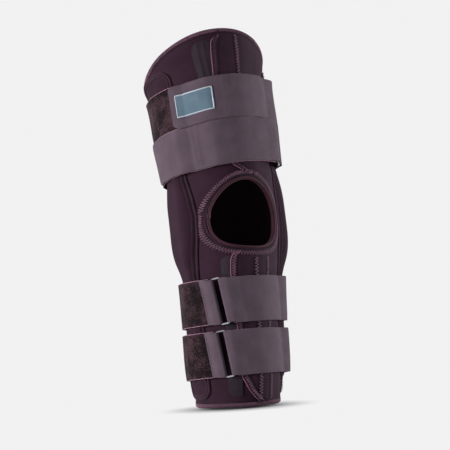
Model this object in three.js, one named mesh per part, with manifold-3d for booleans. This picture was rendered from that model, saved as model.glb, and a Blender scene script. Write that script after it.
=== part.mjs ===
// Wraparound hinged knee brace for a right leg, in millimetres, +Z up.
// The front of the knee faces -Y, the lateral (outer) side -X, the medial (inner) side +X.
// The origin is the middle of the knee hinge. The calf hangs straight down and the thigh leans back.
// A point of the brace is given by its angle round the leg (u, in degrees, 0 in front and positive to
// the medial side), its distance along the leg (s, positive up the thigh) and its height over the sleeve.
import * as THREE from "three";
import { mergeVertices } from "three/addons/utils/BufferGeometryUtils.js";
import Module from "manifold-3d";

const wasm = await Module();
wasm.setup();

// Leg and sleeve
const REST_FLEXION = 14;
const LEG_CURVE = 56; // half the length over which the leg's axis bends at the knee
const SLEEVE_THICKNESS = 4;
const STEP = 12; // degrees between two columns of a fabric piece
// distance along the leg, half width, half depth, centre behind the hinge axis
const STATIONS = [
  [-210, 47.5, 48.5, 7],
  [-192, 49, 52, 7],
  [-173, 50.5, 56, 8],
  [-120, 50.7, 60, 8],
  [-68, 52.2, 60, 7],
  [-42, 55.2, 60, 6],
  [-20, 57, 61, 6],
  [0, 57.6, 62, 6],
  [20, 58.4, 63, 6],
  [58, 58.6, 66, 6],
  [105, 61.6, 70, 7],
  [160, 64, 74.4, 8.2],
  [178, 69.5, 75.8, 8.4],
  [214, 74, 78.2, 9],
];
const TOP_BACK = 170;
const TOP_PEAK = 42; // the top edge is this much higher in front than behind
const BOTTOM = -210;
const THIGH_EDGE = { front: 48, back: 60 };
const CALF_EDGE = { front: -59, back: -69 };
const PIECE_GAP = 0.4;
const SLIT = { at: 5, gap: 1.2 }; // the sleeve's two ends meet here, under the flaps
const BINDING = { width: 1.8, proud: 0.5 };
const SLEEVE_ROWS = { thigh: 9, knee: 6, calf: 10 };

// Patella opening
const HOLE = { centre: 4, rise: 1.4, halfWidth: 43, halfHeight: 41, egg: 0.12, tilt: -5, points: 28 };
const HOLE_BINDING = 2.4;
const HOLE_SKIN = { from: -54, to: 62, low: -50, high: 47, rows: 6 }; // the binding is cut from this
const PRISM = { start: 10, depth: 70 };

// Closure
const FLAP_LIFT = 0.7;
const FLAP_THICKNESS = 2.8;
const HOOK_THICKNESS = 1;
const FLAP_ROWS = 6;
const THIGH_FLAP = { from: -14, to: 22, low: 51, rim: 7 };
const THIGH_HOOK = { from: -31, to: -15, low: 58, rim: 14 };
const CALF_FLAP = { from: -20, to: 26, low: -206, high: -61 };
const CALF_HOOK = { from: -34, to: -21, low: -198, high: -64 };

// Stays and geared hinges
const PIVOT_SPACING = 22;
const GEAR = { teeth: 16, depth: 1.1, rise: 0.88, bore: 3, tip: 0.24, root: 0.5 };
const STAY = { width: 16, thickness: 2, thighLength: 146, calfLength: 166, gap: 0.9, rows: 12 };
const NECK = { inset: 2, reach: 4 };
const HINGE_PLANE = 59; // from the middle of the leg to the inner face of the inner plates
const FLAT_LENGTH = 22;
const BEND_LENGTH = 34;
const PLATE = { thickness: 1, radius: 12 };
const PLATE_GAP = 0.25;
const RIVET = { shaft: 2.75, head: 5, headHeight: 0.8, crown: 3, seat: 0.1, segments: 14 };

// Pockets
const POCKET = { half: 27, cloth: 1, flat: 9.5, slope: 8, clear: 1.2, top: 166, bottom: -188 };
const POCKET_ARCH = 24;
const POCKET_STEP = 5;
const POCKET_ROWS = { thigh: 8, knee: 8, calf: 6 };
const HINGE_END = 34; // the pocket narrows from the hinge to the bare stay up to here

// Straps
const STRAP = { width: 48, thickness: 1.4, lift: 0.9, gap: 0.6, hook: 0.7, hookMargin: 2, rows: 2 };
const STRAP_LEAN = 9; // behind the leg the straps lie this much farther from the knee
const THIGH_TILT = 4; // the thigh's straps rise this much from the front to the medial side
const RING = { wire: 2.4, width: 14, inside: 49, corner: 3.2, innerCorner: 1.4 };
const FOLD_CLEAR = 0.4;
const BAR_CLEAR = 0.3;
const LEVEL_BESIDE = STEP + 2; // a strap lies level this many degrees to each side of its ring
const PROBE = { along: 10, turn: 2 }; // the distances over which a ring's directions are measured
const STRAPS = [
  { name: "upper_thigh", half: 1, low: 104.4, tilt: THIGH_TILT, ring: 76, side: -1, slant: 0, end: -60 },
  {
    name: "lower_thigh",
    half: 1,
    low: 52.6,
    tilt: THIGH_TILT,
    ring: 58,
    side: -1,
    slant: 0,
    end: -104,
    peel: -20,
  },
  { name: "upper_calf", half: -1, low: -113, tilt: 0, ring: -36, side: 1, slant: -8, end: 74 },
  { name: "lower_calf", half: -1, low: -172, tilt: 0, ring: -34, side: 1, slant: -9, end: 74 },
];
const KEEPER_ANGLE = 12;
const HOOK_ANGLE = 24;
const LABEL = { from: -52, to: -20, margin: 10, thickness: 0.6 };

const rad = THREE.MathUtils.degToRad;
const smooth = THREE.MathUtils.smoothstep;
const group = new THREE.Group();

// Materials
const neoprene = { color: 0x3a2432, roughness: 0.92, metalness: 0 };
const webbing = { color: 0x6a616a, roughness: 0.8, metalness: 0 };
const pile = { color: 0x2b1d22, roughness: 0.97, metalness: 0 };
const hook = { color: 0x1b1a20, roughness: 0.75, metalness: 0 };
const tape = { color: 0x24141c, roughness: 0.85, metalness: 0 };
const alloy = { color: 0xa9abad, roughness: 0.38, metalness: 0.95 };
const steel = { color: 0x8c8f92, roughness: 0.3, metalness: 1 };
const nickel = { color: 0x55555a, roughness: 0.18, metalness: 1 };
const patchCloth = { color: 0xc9ced6, roughness: 0.7, metalness: 0 };

function addMesh(name, geometry, look, matrix) {
  const mesh = new THREE.Mesh(geometry, new THREE.MeshStandardMaterial(look));
  mesh.name = name;
  if (matrix) mesh.applyMatrix4(matrix);
  group.add(mesh);
  return mesh;
}

// Solids and booleans

function solid(geometry, matrix) {
  const bare = geometry.index ? geometry.toNonIndexed() : geometry.clone();
  bare.deleteAttribute("normal");
  bare.deleteAttribute("uv");
  if (matrix) bare.applyMatrix4(matrix);
  const merged = mergeVertices(bare, 1e-3);
  const triVerts = new Uint32Array(merged.index.array);
  const vertProperties = merged.attributes.position.array;
  return new wasm.Manifold(new wasm.Mesh({ numProp: 3, vertProperties, triVerts }));
}

function geometryOf(made) {
  const mesh = made.getMesh();
  const geometry = new THREE.BufferGeometry();
  geometry.setAttribute("position", new THREE.BufferAttribute(mesh.vertProperties, 3));
  geometry.setIndex(new THREE.BufferAttribute(mesh.triVerts, 1));
  return geometry;
}

// The leg's shape

const stationCurve = new THREE.CubicInterpolant(
  STATIONS.map((row) => row[0]),
  STATIONS.flatMap((row) => row.slice(1)),
  3,
);

function section(s) {
  const [halfWidth, halfDepth, centre] = stationCurve.evaluate(s);
  return { halfWidth, halfDepth, centre };
}

// The leg's axis at s: a circular arc at the knee, and straight beyond it.
function axisAt(s) {
  const middle = rad(REST_FLEXION / 2);
  const rate = middle / LEG_CURVE;
  const bent = THREE.MathUtils.clamp(s, -LEG_CURVE, LEG_CURVE);
  const angle = middle + rate * bent;
  const past = s - bent;
  const y = (Math.cos(middle) - Math.cos(angle)) / rate + past * Math.sin(angle);
  const z = (Math.sin(angle) - Math.sin(middle)) / rate + past * Math.cos(angle);
  return { angle, y, z };
}

function surface(u, s, height) {
  const { halfWidth, halfDepth, centre } = section(s);
  const { angle, y, z } = axisAt(s);
  const across = (halfWidth + height) * Math.sin(rad(u));
  const back = centre - (halfDepth + height) * Math.cos(rad(u));
  return new THREE.Vector3(across, y + back * Math.cos(angle), z - back * Math.sin(angle));
}

function radiusAt(s) {
  const { halfWidth, halfDepth } = section(s);
  return (halfWidth + halfDepth) / 2;
}

function edge(ends, u) {
  return THREE.MathUtils.lerp(ends.front, ends.back, (1 - Math.cos(rad(u))) / 2);
}

function topEdge(u) {
  return TOP_BACK + TOP_PEAK * ((1 + Math.cos(rad(u))) / 2) ** 1.5;
}

// Fabric pieces

function columnsBetween(from, to, step) {
  const columns = [from];
  for (let u = Math.ceil(from / step) * step; u < to; u += step)
    if (u > from + 1 && u < to - 1) columns.push(u);
  columns.push(to);
  return columns;
}

// A piece of even or varying thickness that lies over the leg, between two angles and two edges.
function fabric({ from, to, low, high, rows, inner, outer, slant = 0, step = STEP }) {
  const columns = columnsBetween(from, to, step);
  const value = (f, ...at) => (typeof f === "function" ? f(...at) : f);
  const vertices = [];
  for (const height of [inner, outer])
    for (const u of columns)
      for (let row = 0; row <= rows; row++) {
        const bottom = value(low, u);
        const top = value(high, u);
        const s = bottom + ((top - bottom) * row) / rows;
        const middle = (bottom + top) / 2;
        const shifted = u + slantTurn(slant, s - middle, middle);
        vertices.push(...surface(shifted, s, value(height, u, s)).toArray());
      }
  return closedGrid(vertices, columns.length, rows + 1);
}

// How far round the leg a slanting piece has moved, this far from its middle.
function slantTurn(slant, distance, s) {
  return THREE.MathUtils.radToDeg((Math.tan(rad(slant)) * distance) / radiusAt(s));
}

// Two grids of points, one over the other, closed round their edges.
function closedGrid(vertices, columns, rows) {
  const at = (layer, column, row) => (layer * columns + column) * rows + row;
  const index = [];
  const quad = (a, b, c, d) => index.push(a, b, c, a, c, d);
  for (let i = 0; i + 1 < columns; i++)
    for (let j = 0; j + 1 < rows; j++) {
      quad(at(1, i, j), at(1, i + 1, j), at(1, i + 1, j + 1), at(1, i, j + 1));
      quad(at(0, i, j), at(0, i, j + 1), at(0, i + 1, j + 1), at(0, i + 1, j));
    }
  for (let i = 0; i + 1 < columns; i++) {
    const last = rows - 1;
    quad(at(0, i, 0), at(0, i + 1, 0), at(1, i + 1, 0), at(1, i, 0));
    quad(at(0, i, last), at(1, i, last), at(1, i + 1, last), at(0, i + 1, last));
  }
  for (let j = 0; j + 1 < rows; j++) {
    const last = columns - 1;
    quad(at(0, 0, j), at(1, 0, j), at(1, 0, j + 1), at(0, 0, j + 1));
    quad(at(0, last, j), at(0, last, j + 1), at(1, last, j + 1), at(1, last, j));
  }
  const geometry = new THREE.BufferGeometry();
  geometry.setAttribute("position", new THREE.Float32BufferAttribute(vertices, 3));
  geometry.setIndex(index);
  return geometry;
}

function around(low, high, rows, inner, outer) {
  const half = SLIT.gap / 2;
  return fabric({ from: SLIT.at + half, to: SLIT.at + 360 - half, low, high, rows, inner, outer });
}

// Sleeve

function holeShape(inset) {
  const shape = new THREE.Shape();
  const points = [];
  for (let i = 0; i < HOLE.points; i++) {
    const angle = (2 * Math.PI * i) / HOLE.points;
    const up = Math.sin(angle);
    const halfWidth = (HOLE.halfWidth - inset) * (1 - HOLE.egg * up);
    const point = new THREE.Vector2(halfWidth * Math.cos(angle), (HOLE.halfHeight - inset) * up);
    points.push(point.rotateAround(new THREE.Vector2(), rad(HOLE.tilt)));
  }
  shape.setFromPoints(points);
  return shape;
}

// The prism that cuts the patella opening, from in front.
function holePrism(inset) {
  const options = { depth: PRISM.depth, bevelEnabled: false };
  const prism = new THREE.ExtrudeGeometry(holeShape(inset), options);
  const turn = new THREE.Matrix4().makeRotationX(Math.PI / 2);
  turn.premultiply(new THREE.Matrix4().makeTranslation(0, -PRISM.start, HOLE.rise));
  turn.premultiply(new THREE.Matrix4().makeRotationZ(rad(HOLE.centre)));
  turn.premultiply(new THREE.Matrix4().makeRotationX(rad(-REST_FLEXION / 2)));
  return solid(prism, turn);
}

function addSleeve() {
  const thighLow = (u) => edge(THIGH_EDGE, u);
  const calfHigh = (u) => edge(CALF_EDGE, u);
  const inner = -SLEEVE_THICKNESS;
  addMesh("thigh_wrap", around(thighLow, topEdge, SLEEVE_ROWS.thigh, inner, 0), neoprene);
  addMesh("calf_wrap", around(BOTTOM, calfHigh, SLEEVE_ROWS.calf, inner, 0), neoprene);
  const kneeLow = (u) => calfHigh(u) + PIECE_GAP;
  const kneeHigh = (u) => thighLow(u) - PIECE_GAP;
  const knee = solid(around(kneeLow, kneeHigh, SLEEVE_ROWS.knee, inner, 0));
  addMesh("knee_wrap", geometryOf(knee.subtract(holePrism(0))), neoprene);
  const proud = BINDING.proud;
  const skin = fabric({ ...HOLE_SKIN, inner: inner - proud, outer: proud });
  const bound = solid(skin).intersect(holePrism(PIECE_GAP));
  const binding = bound.subtract(holePrism(PIECE_GAP + HOLE_BINDING));
  addMesh("patella_binding", geometryOf(binding), tape);
  const rimLow = (u) => topEdge(u) + PIECE_GAP;
  const rimHigh = (u) => rimLow(u) + BINDING.width;
  addMesh("top_binding", around(rimLow, rimHigh, 1, inner - proud, proud), tape);
  const hemHigh = BOTTOM - PIECE_GAP;
  const hem = around(hemHigh - BINDING.width, hemHigh, 1, inner - proud, proud);
  addMesh("bottom_binding", hem, tape);
}

function addClosure() {
  const flapOuter = FLAP_LIFT + FLAP_THICKNESS;
  const hookOuter = FLAP_LIFT + HOOK_THICKNESS;
  const rim = (piece) => (u) => topEdge(u) - piece.rim;
  const lay = (piece, high, outer) =>
    fabric({ ...piece, high, rows: FLAP_ROWS, inner: FLAP_LIFT, outer });
  addMesh("thigh_flap", lay(THIGH_FLAP, rim(THIGH_FLAP), flapOuter), neoprene);
  addMesh("thigh_hook_strip", lay(THIGH_HOOK, rim(THIGH_HOOK), hookOuter), hook);
  addMesh("calf_flap", lay(CALF_FLAP, CALF_FLAP.high, flapOuter), neoprene);
  addMesh("calf_hook_strip", lay(CALF_HOOK, CALF_HOOK.high, hookOuter), hook);
}

// Hinges and stays

// How far out the sleeve reaches beside the stay's rear edge.
function sleeveReach(s) {
  const { halfWidth, halfDepth, centre } = section(s);
  const back = centre - STAY.width / 2 - POCKET.clear;
  return halfWidth * Math.sqrt(1 - (back / halfDepth) ** 2);
}

// The inner face of a stay, as a distance from the middle of the leg.
function stayReach(s) {
  const flat = HINGE_PLANE + PLATE.thickness + PLATE_GAP;
  const along = smooth(Math.abs(s), FLAT_LENGTH, FLAT_LENGTH + BEND_LENGTH);
  return THREE.MathUtils.lerp(flat, sleeveReach(s) + STAY.gap, along);
}

// A plate drawn in the plane across the hinge axis: the drawing's x goes back and its y goes up.
function acrossPlate(shape, x, depth) {
  const plate = new THREE.ExtrudeGeometry(shape, { depth, bevelEnabled: false, curveSegments: 7 });
  const back = new THREE.Vector3(0, 1, 0);
  const up = new THREE.Vector3(0, 0, 1);
  const out = new THREE.Vector3(1, 0, 0);
  plate.applyMatrix4(new THREE.Matrix4().makeBasis(back, up, out));
  return plate.translate(x, 0, 0);
}

function circlePath(radius, y = 0) {
  return new THREE.Path().absarc(0, y, radius, 0, 2 * Math.PI, true);
}

// A gear whose first tooth, or first gap, points at the angle `first` of the drawing.
function gearShape(first) {
  const pitch = PIVOT_SPACING / 2;
  const turn = (2 * Math.PI) / GEAR.teeth;
  const tip = pitch + GEAR.rise;
  const root = pitch - GEAR.depth;
  const corners = [
    [root, -GEAR.root / 2],
    [tip, -GEAR.tip / 2],
    [tip, GEAR.tip / 2],
    [root, GEAR.root / 2],
  ];
  const points = [];
  for (let tooth = 0; tooth < GEAR.teeth; tooth++)
    for (const [radius, share] of corners) {
      const angle = first + (tooth + share) * turn;
      points.push(new THREE.Vector2(radius * Math.cos(angle), radius * Math.sin(angle)));
    }
  const shape = new THREE.Shape(points);
  shape.holes.push(circlePath(GEAR.bore));
  return shape;
}

// The neck joins a gear to its blade.
function neckShape(way) {
  const half = STAY.width / 2;
  const near = way * (GEAR.bore + NECK.inset);
  const far = way * (PIVOT_SPACING / 2 + NECK.reach);
  const corners = [
    [NECK.inset - half, near],
    [half - NECK.inset, near],
    [half, far],
    [-half, far],
  ];
  if (way < 0) corners.reverse();
  return new THREE.Shape(corners.map(([x, y]) => new THREE.Vector2(x, y)));
}

// The blade of a stay in its pivot's frame, going up (way 1) or down (way -1).
function stayBlade(side, way) {
  const length = way > 0 ? STAY.thighLength : STAY.calfLength;
  const start = PIVOT_SPACING / 2 + 1;
  const near = [];
  const far = [];
  for (let row = 0; row <= STAY.rows; row++) {
    const z = way * THREE.MathUtils.lerp(start, length, row / STAY.rows);
    const s = z + (way * PIVOT_SPACING) / 2;
    const x = side * stayReach(s);
    near.push(new THREE.Vector2(x, z));
    far.push(new THREE.Vector2(x + side * STAY.thickness, z));
  }
  const shape = new THREE.Shape([...near, ...far.reverse()]);
  const blade = new THREE.ExtrudeGeometry(shape, { depth: STAY.width, bevelEnabled: false });
  blade.translate(0, 0, -STAY.width / 2);
  return blade.rotateX(Math.PI / 2);
}

// The place and tilt of the upper pivot (way 1) or the lower pivot (way -1).
function pivotMatrix(way, tilt) {
  const half = PIVOT_SPACING / 2;
  const middle = rad(REST_FLEXION / 2);
  const matrix = new THREE.Matrix4().makeRotationX(-tilt);
  return matrix.setPosition(0, way * half * Math.sin(middle), way * half * Math.cos(middle));
}

function addStay(name, side, way) {
  const flat = HINGE_PLANE + PLATE.thickness + PLATE_GAP;
  const x = side > 0 ? flat : -flat - STAY.thickness;
  const tilt = way > 0 ? rad(REST_FLEXION) : 0;
  // a tooth of the upper gear points at the lower pivot, and a gap of the lower gear at the upper one
  const toward = rad((way > 0 ? -90 : 90) + (way * REST_FLEXION) / 2);
  const first = toward + (way > 0 ? 0 : Math.PI / GEAR.teeth);
  const gear = solid(acrossPlate(gearShape(first), x, STAY.thickness));
  const neck = solid(acrossPlate(neckShape(way), x, STAY.thickness));
  const made = gear.add(neck).add(solid(stayBlade(side, way)));
  addMesh(name, geometryOf(made), alloy, pivotMatrix(way, tilt));
}

function plateShape() {
  const half = PIVOT_SPACING / 2;
  const shape = new THREE.Shape();
  shape.absarc(0, half, PLATE.radius, 0, Math.PI, false);
  shape.absarc(0, -half, PLATE.radius, Math.PI, 2 * Math.PI, false);
  shape.closePath();
  shape.holes.push(circlePath(GEAR.bore, half), circlePath(GEAR.bore, -half));
  return shape;
}

const OUTER_PLATE = HINGE_PLANE + PLATE.thickness + STAY.thickness + 2 * PLATE_GAP;

function addPlate(name, side, reach) {
  const x = side > 0 ? reach : -reach - PLATE.thickness;
  const tilt = new THREE.Matrix4().makeRotationX(rad(-REST_FLEXION / 2));
  addMesh(name, acrossPlate(plateShape(), x, PLATE.thickness), steel, tilt);
}

function addRivet(name, side, way) {
  const seat = OUTER_PLATE + PLATE.thickness + RIVET.seat;
  const top = seat + RIVET.headHeight;
  const profile = [
    [0, HINGE_PLANE],
    [RIVET.shaft, HINGE_PLANE],
    [RIVET.shaft, seat],
    [RIVET.head, seat],
    [RIVET.head, seat + RIVET.headHeight / 3],
    [RIVET.crown, top],
    [0, top],
  ].map(([r, height]) => new THREE.Vector2(r, height));
  const rivet = new THREE.LatheGeometry(profile, RIVET.segments);
  rivet.rotateZ((-side * Math.PI) / 2);
  addMesh(name, rivet, steel, pivotMatrix(way, rad(REST_FLEXION / 2)));
}

function addHinge(label, side) {
  addStay(label + "_thigh_stay", side, 1);
  addStay(label + "_calf_stay", side, -1);
  addPlate(label + "_hinge_inner_plate", side, HINGE_PLANE);
  addPlate(label + "_hinge_outer_plate", side, OUTER_PLATE);
  addRivet(label + "_upper_rivet", side, 1);
  addRivet(label + "_lower_rivet", side, -1);
}

// Pockets over the stays and hinges

function stayAngle(s) {
  const { halfDepth, centre } = section(s);
  return THREE.MathUtils.radToDeg(Math.acos(centre / halfDepth));
}

// How high over the sleeve the pocket's inner face lies.
function pocketHeight(u, s) {
  const angle = Math.abs(THREE.MathUtils.euclideanModulo(u + 180, 360) - 180);
  const hinge = 1 - smooth(Math.abs(s), PIVOT_SPACING / 2 + PLATE.radius, HINGE_END);
  const rivetTop = OUTER_PLATE + PLATE.thickness + RIVET.seat + RIVET.headHeight;
  const metal = THREE.MathUtils.lerp(stayReach(s) + STAY.thickness, rivetTop, hinge);
  const flat = THREE.MathUtils.lerp(POCKET.flat, PLATE.radius + 1, hinge);
  const away = Math.abs(rad(angle - stayAngle(s))) * radiusAt(s);
  const over = (metal + POCKET.clear) / Math.sin(rad(angle)) - section(s).halfWidth;
  return THREE.MathUtils.lerp(over, PIECE_GAP, smooth(away, flat, flat + POCKET.slope));
}

function addPocket(name, side, low, high, rows) {
  const centre = side * stayAngle(0);
  addMesh(
    name,
    fabric({
      from: centre - POCKET.half,
      to: centre + POCKET.half,
      low,
      high,
      rows,
      inner: pocketHeight,
      outer: (u, s) => pocketHeight(u, s) + POCKET.cloth,
      step: POCKET_STEP,
    }),
    neoprene,
  );
}

// How much a pocket's rounded end falls short of its full length at this angle.
function archDrop(u, side) {
  const share = (u - side * stayAngle(0)) / POCKET.half;
  return POCKET_ARCH * (1 - Math.sqrt(Math.max(0, 1 - share ** 2)));
}

function addPockets(label, side) {
  const half = PIECE_GAP / 2;
  const above = (u) => edge(THIGH_EDGE, u);
  const below = (u) => edge(CALF_EDGE, u);
  const ends = {
    thigh: [(u) => above(u) + half, (u) => POCKET.top - archDrop(u, side)],
    knee: [(u) => below(u) + half, (u) => above(u) - half],
    calf: [(u) => POCKET.bottom + archDrop(u, side), (u) => below(u) - half],
  };
  for (const [part, [low, high]] of Object.entries(ends))
    addPocket(`${label}_${part}_pocket`, side, low, high, POCKET_ROWS[part]);
}

// Straps, their rings and their keepers

// A function of the angle, made straight between the fabric's columns.
function onGrid(f) {
  return (u) => {
    const before = Math.floor(u / STEP) * STEP;
    return THREE.MathUtils.lerp(f(before), f(before + STEP), (u - before) / STEP);
  };
}

function apart(a, b) {
  return Math.abs(THREE.MathUtils.euclideanModulo(a - b + 180, 360) - 180);
}

// The top of what lies over the sleeve at one place.
function coverHeight(u, s) {
  const under = (piece) => apart(u, (piece.from + piece.to) / 2) <= (piece.to - piece.from) / 2 + 1;
  const flap = under(s > 0 ? THIGH_FLAP : CALF_FLAP) ? FLAP_LIFT + FLAP_THICKNESS : 0;
  const strip = under(s > 0 ? THIGH_HOOK : CALF_HOOK) ? FLAP_LIFT + HOOK_THICKNESS : 0;
  const beside = Math.min(apart(u, stayAngle(0)), apart(u, -stayAngle(0)));
  const pocket = beside < POCKET.half + 1 ? pocketHeight(u, s) + POCKET.cloth : 0;
  return Math.max(flap, strip, pocket);
}

function strapEdge(strap, u) {
  const lean = strap.half * STRAP_LEAN * ((1 - Math.cos(rad(u))) / 2);
  return strap.low + lean + strap.tilt * Math.sin(rad(u));
}

// The height of a strap's lowest layer at each angle: clear of all that it crosses, and level at its ring.
function strapBase(strap) {
  const reach = (4 * STEP) / 3;
  const plain = onGrid((u) => {
    let height = 0;
    for (let near = u - reach; near <= u + reach; near += STEP / 4)
      for (const s of [0, STRAP.width / 2, STRAP.width])
        height = Math.max(height, coverHeight(near, strapEdge(strap, u) + s));
    return height + STRAP.lift;
  });
  let level = 0;
  const beside = 2 * STEP;
  for (let u = strap.ring - beside; u <= strap.ring + beside; u += STEP / 3)
    level = Math.max(level, plain(u));
  const base = (u) => {
    const away = smooth(apart(u, strap.ring), LEVEL_BESIDE, beside);
    return THREE.MathUtils.lerp(level, plain(u), away);
  };
  return { base: onGrid(base), level };
}

const FOLD_INSIDE = RING.wire / 2 + FOLD_CLEAR;
const FOLD_OUTSIDE = FOLD_INSIDE + STRAP.thickness;
const BAR_OFFSET = (RING.width - RING.wire) / 2;

// The ring's frame: x round the leg, y along its bars, z out of the leg.
function ringFrame(strap, level) {
  const middle = strapEdge(strap, strap.ring) + STRAP.width / 2;
  const height = level + FOLD_OUTSIDE;
  const turn = slantTurn(strap.slant, PROBE.along, middle);
  const along = surface(strap.ring + turn, middle + PROBE.along, height);
  along.sub(surface(strap.ring - turn, middle - PROBE.along, height)).normalize();
  const round = surface(strap.ring + PROBE.turn, middle, height);
  round.sub(surface(strap.ring - PROBE.turn, middle, height));
  const out = round.cross(along).normalize();
  const across = along.clone().cross(out);
  return new THREE.Matrix4()
    .makeBasis(across, along, out)
    .setPosition(surface(strap.ring, middle, height));
}

function roundedRectangle(target, width, height, corner) {
  const x = width / 2;
  const y = height / 2;
  target.absarc(x - corner, y - corner, corner, 0, Math.PI / 2, false);
  target.absarc(corner - x, y - corner, corner, Math.PI / 2, Math.PI, false);
  target.absarc(corner - x, corner - y, corner, Math.PI, 1.5 * Math.PI, false);
  target.absarc(x - corner, corner - y, corner, 1.5 * Math.PI, 2 * Math.PI, false);
  target.closePath();
  return target;
}

function ringGeometry() {
  const { wire, width, inside, corner, innerCorner } = RING;
  const shape = roundedRectangle(new THREE.Shape(), width, inside + 2 * wire, corner);
  shape.holes.push(roundedRectangle(new THREE.Path(), width - 2 * wire, inside, innerCorner));
  const bevel = wire / 5;
  const ring = new THREE.ExtrudeGeometry(shape, {
    depth: wire - 2 * bevel,
    bevelThickness: bevel,
    bevelSize: bevel,
    bevelOffset: -bevel,
    bevelSegments: 1,
    curveSegments: 2,
  });
  return ring.translate(0, 0, bevel - wire / 2);
}

// The half tube of strap that goes over one bar of the ring and opens toward that side.
function foldOver(frame, toward) {
  const shape = new THREE.Shape();
  shape.moveTo(RING.wire, FOLD_OUTSIDE);
  shape.absarc(0, 0, FOLD_OUTSIDE, Math.PI / 2, 1.5 * Math.PI, false);
  shape.absarc(0, 0, FOLD_INSIDE, 1.5 * Math.PI, Math.PI / 2, true);
  shape.lineTo(RING.wire, FOLD_INSIDE);
  shape.closePath();
  const options = { depth: STRAP.width, bevelEnabled: false, curveSegments: 6 };
  const fold = new THREE.ExtrudeGeometry(shape, options).translate(0, 0, -STRAP.width / 2);
  const right = new THREE.Vector3(toward, 0, 0);
  const out = new THREE.Vector3(0, 0, 1);
  const along = new THREE.Vector3(0, -toward, 0);
  const local = new THREE.Matrix4().makeBasis(right, out, along);
  local.setPosition(toward * BAR_OFFSET, 0, 0);
  return solid(fold, local.premultiply(frame));
}

function strapLayer(strap, ends, inner, thickness, margin = 0) {
  const [from, to] = ends[0] < ends[1] ? ends : [ends[1], ends[0]];
  return fabric({
    from,
    to,
    low: (u) => strapEdge(strap, u) + margin,
    high: (u) => strapEdge(strap, u) + STRAP.width - margin,
    rows: STRAP.rows,
    inner,
    outer: (u, s) => inner(u, s) + thickness,
    slant: strap.slant,
  });
}

function addStrap(strap) {
  const { base, level } = strapBase(strap);
  const frame = ringFrame(strap, level);
  const radius = radiusAt(strap.low + STRAP.width / 2) + level;
  const degrees = (length) => THREE.MathUtils.radToDeg(length / radius);
  const drop = BAR_OFFSET ** 2 / (2 * radius);
  const near = FOLD_OUTSIDE + FOLD_INSIDE + drop;
  const far = STRAP.thickness + 2 * STRAP.gap + STRAP.hook;
  const bar = (toward) => strap.ring + toward * degrees(BAR_OFFSET + RING.wire / 2 + BAR_CLEAR);
  const over = (toward, height, length) => (u) =>
    base(u) + THREE.MathUtils.lerp(near, height, smooth(apart(u, bar(toward)), 3, length));

  addMesh(strap.name + "_ring", ringGeometry(), nickel, frame);

  const clear = degrees(BAR_OFFSET + FOLD_OUTSIDE + PIECE_GAP);
  const bandEnds = [strap.ring + clear, strap.ring + 360 - clear];
  addMesh(strap.name + "_strap_band", strapLayer(strap, bandEnds, base, STRAP.thickness), pile);

  const back = -strap.side;
  const keeperEnds = [bar(back), bar(back) + back * KEEPER_ANGLE];
  const keeperHeight = over(back, STRAP.thickness + STRAP.gap, KEEPER_ANGLE - 1);
  const keeperLeg = solid(strapLayer(strap, keeperEnds, keeperHeight, STRAP.thickness));
  addMesh(strap.name + "_keeper", geometryOf(foldOver(frame, back).add(keeperLeg)), webbing);

  const tailHeight = over(strap.side, far, 2 * STEP);
  const split = strap.peel ?? strap.end;
  const tailLeg = solid(strapLayer(strap, [bar(strap.side), split], tailHeight, STRAP.thickness));
  const tail = geometryOf(foldOver(frame, strap.side).add(tailLeg));
  if (strap.peel === undefined) addMesh(strap.name + "_strap_tail", tail, webbing);
  else {
    addMesh(strap.name + "_strap_front", tail, webbing);
    const start = strap.peel + strap.side * degrees(PIECE_GAP);
    const end = strapLayer(strap, [start, strap.end], tailHeight, STRAP.thickness);
    addMesh(strap.name + "_strap_tail", end, webbing);
  }

  const hookHeight = (u) => base(u) + STRAP.thickness + STRAP.gap;
  const hookEnds = [strap.end - strap.side, strap.end - strap.side * HOOK_ANGLE];
  const tab = strapLayer(strap, hookEnds, hookHeight, STRAP.hook, STRAP.hookMargin);
  addMesh(strap.name + "_hook_tab", tab, hook);
  return tailHeight;
}

function addLabel(strap, tailHeight) {
  const height = (u) => tailHeight(u) + STRAP.thickness + STRAP.gap;
  const ends = [LABEL.from, LABEL.to];
  const label = strapLayer(strap, ends, height, LABEL.thickness, LABEL.margin);
  addMesh("plain_label", label, patchCloth);
}

addSleeve();
addClosure();
for (const [label, side] of [
  ["lateral", -1],
  ["medial", 1],
]) {
  addHinge(label, side);
  addPockets(label, side);
}
const tailHeights = STRAPS.map(addStrap);
addLabel(STRAPS[0], tailHeights[0]);

export default group;
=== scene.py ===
"""Visual model of the hinged knee brace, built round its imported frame.

Distances inside the script are millimetres, and make() turns them into metres. A point of the brace is
given by its angle round the leg (u, degrees, 0 in front and positive to the medial side), its distance
along the leg (s, positive up the thigh) and its height over the sleeve.
"""

import math

import bmesh
import bpy
import numpy as np
from mathutils import Matrix, Vector


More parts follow.
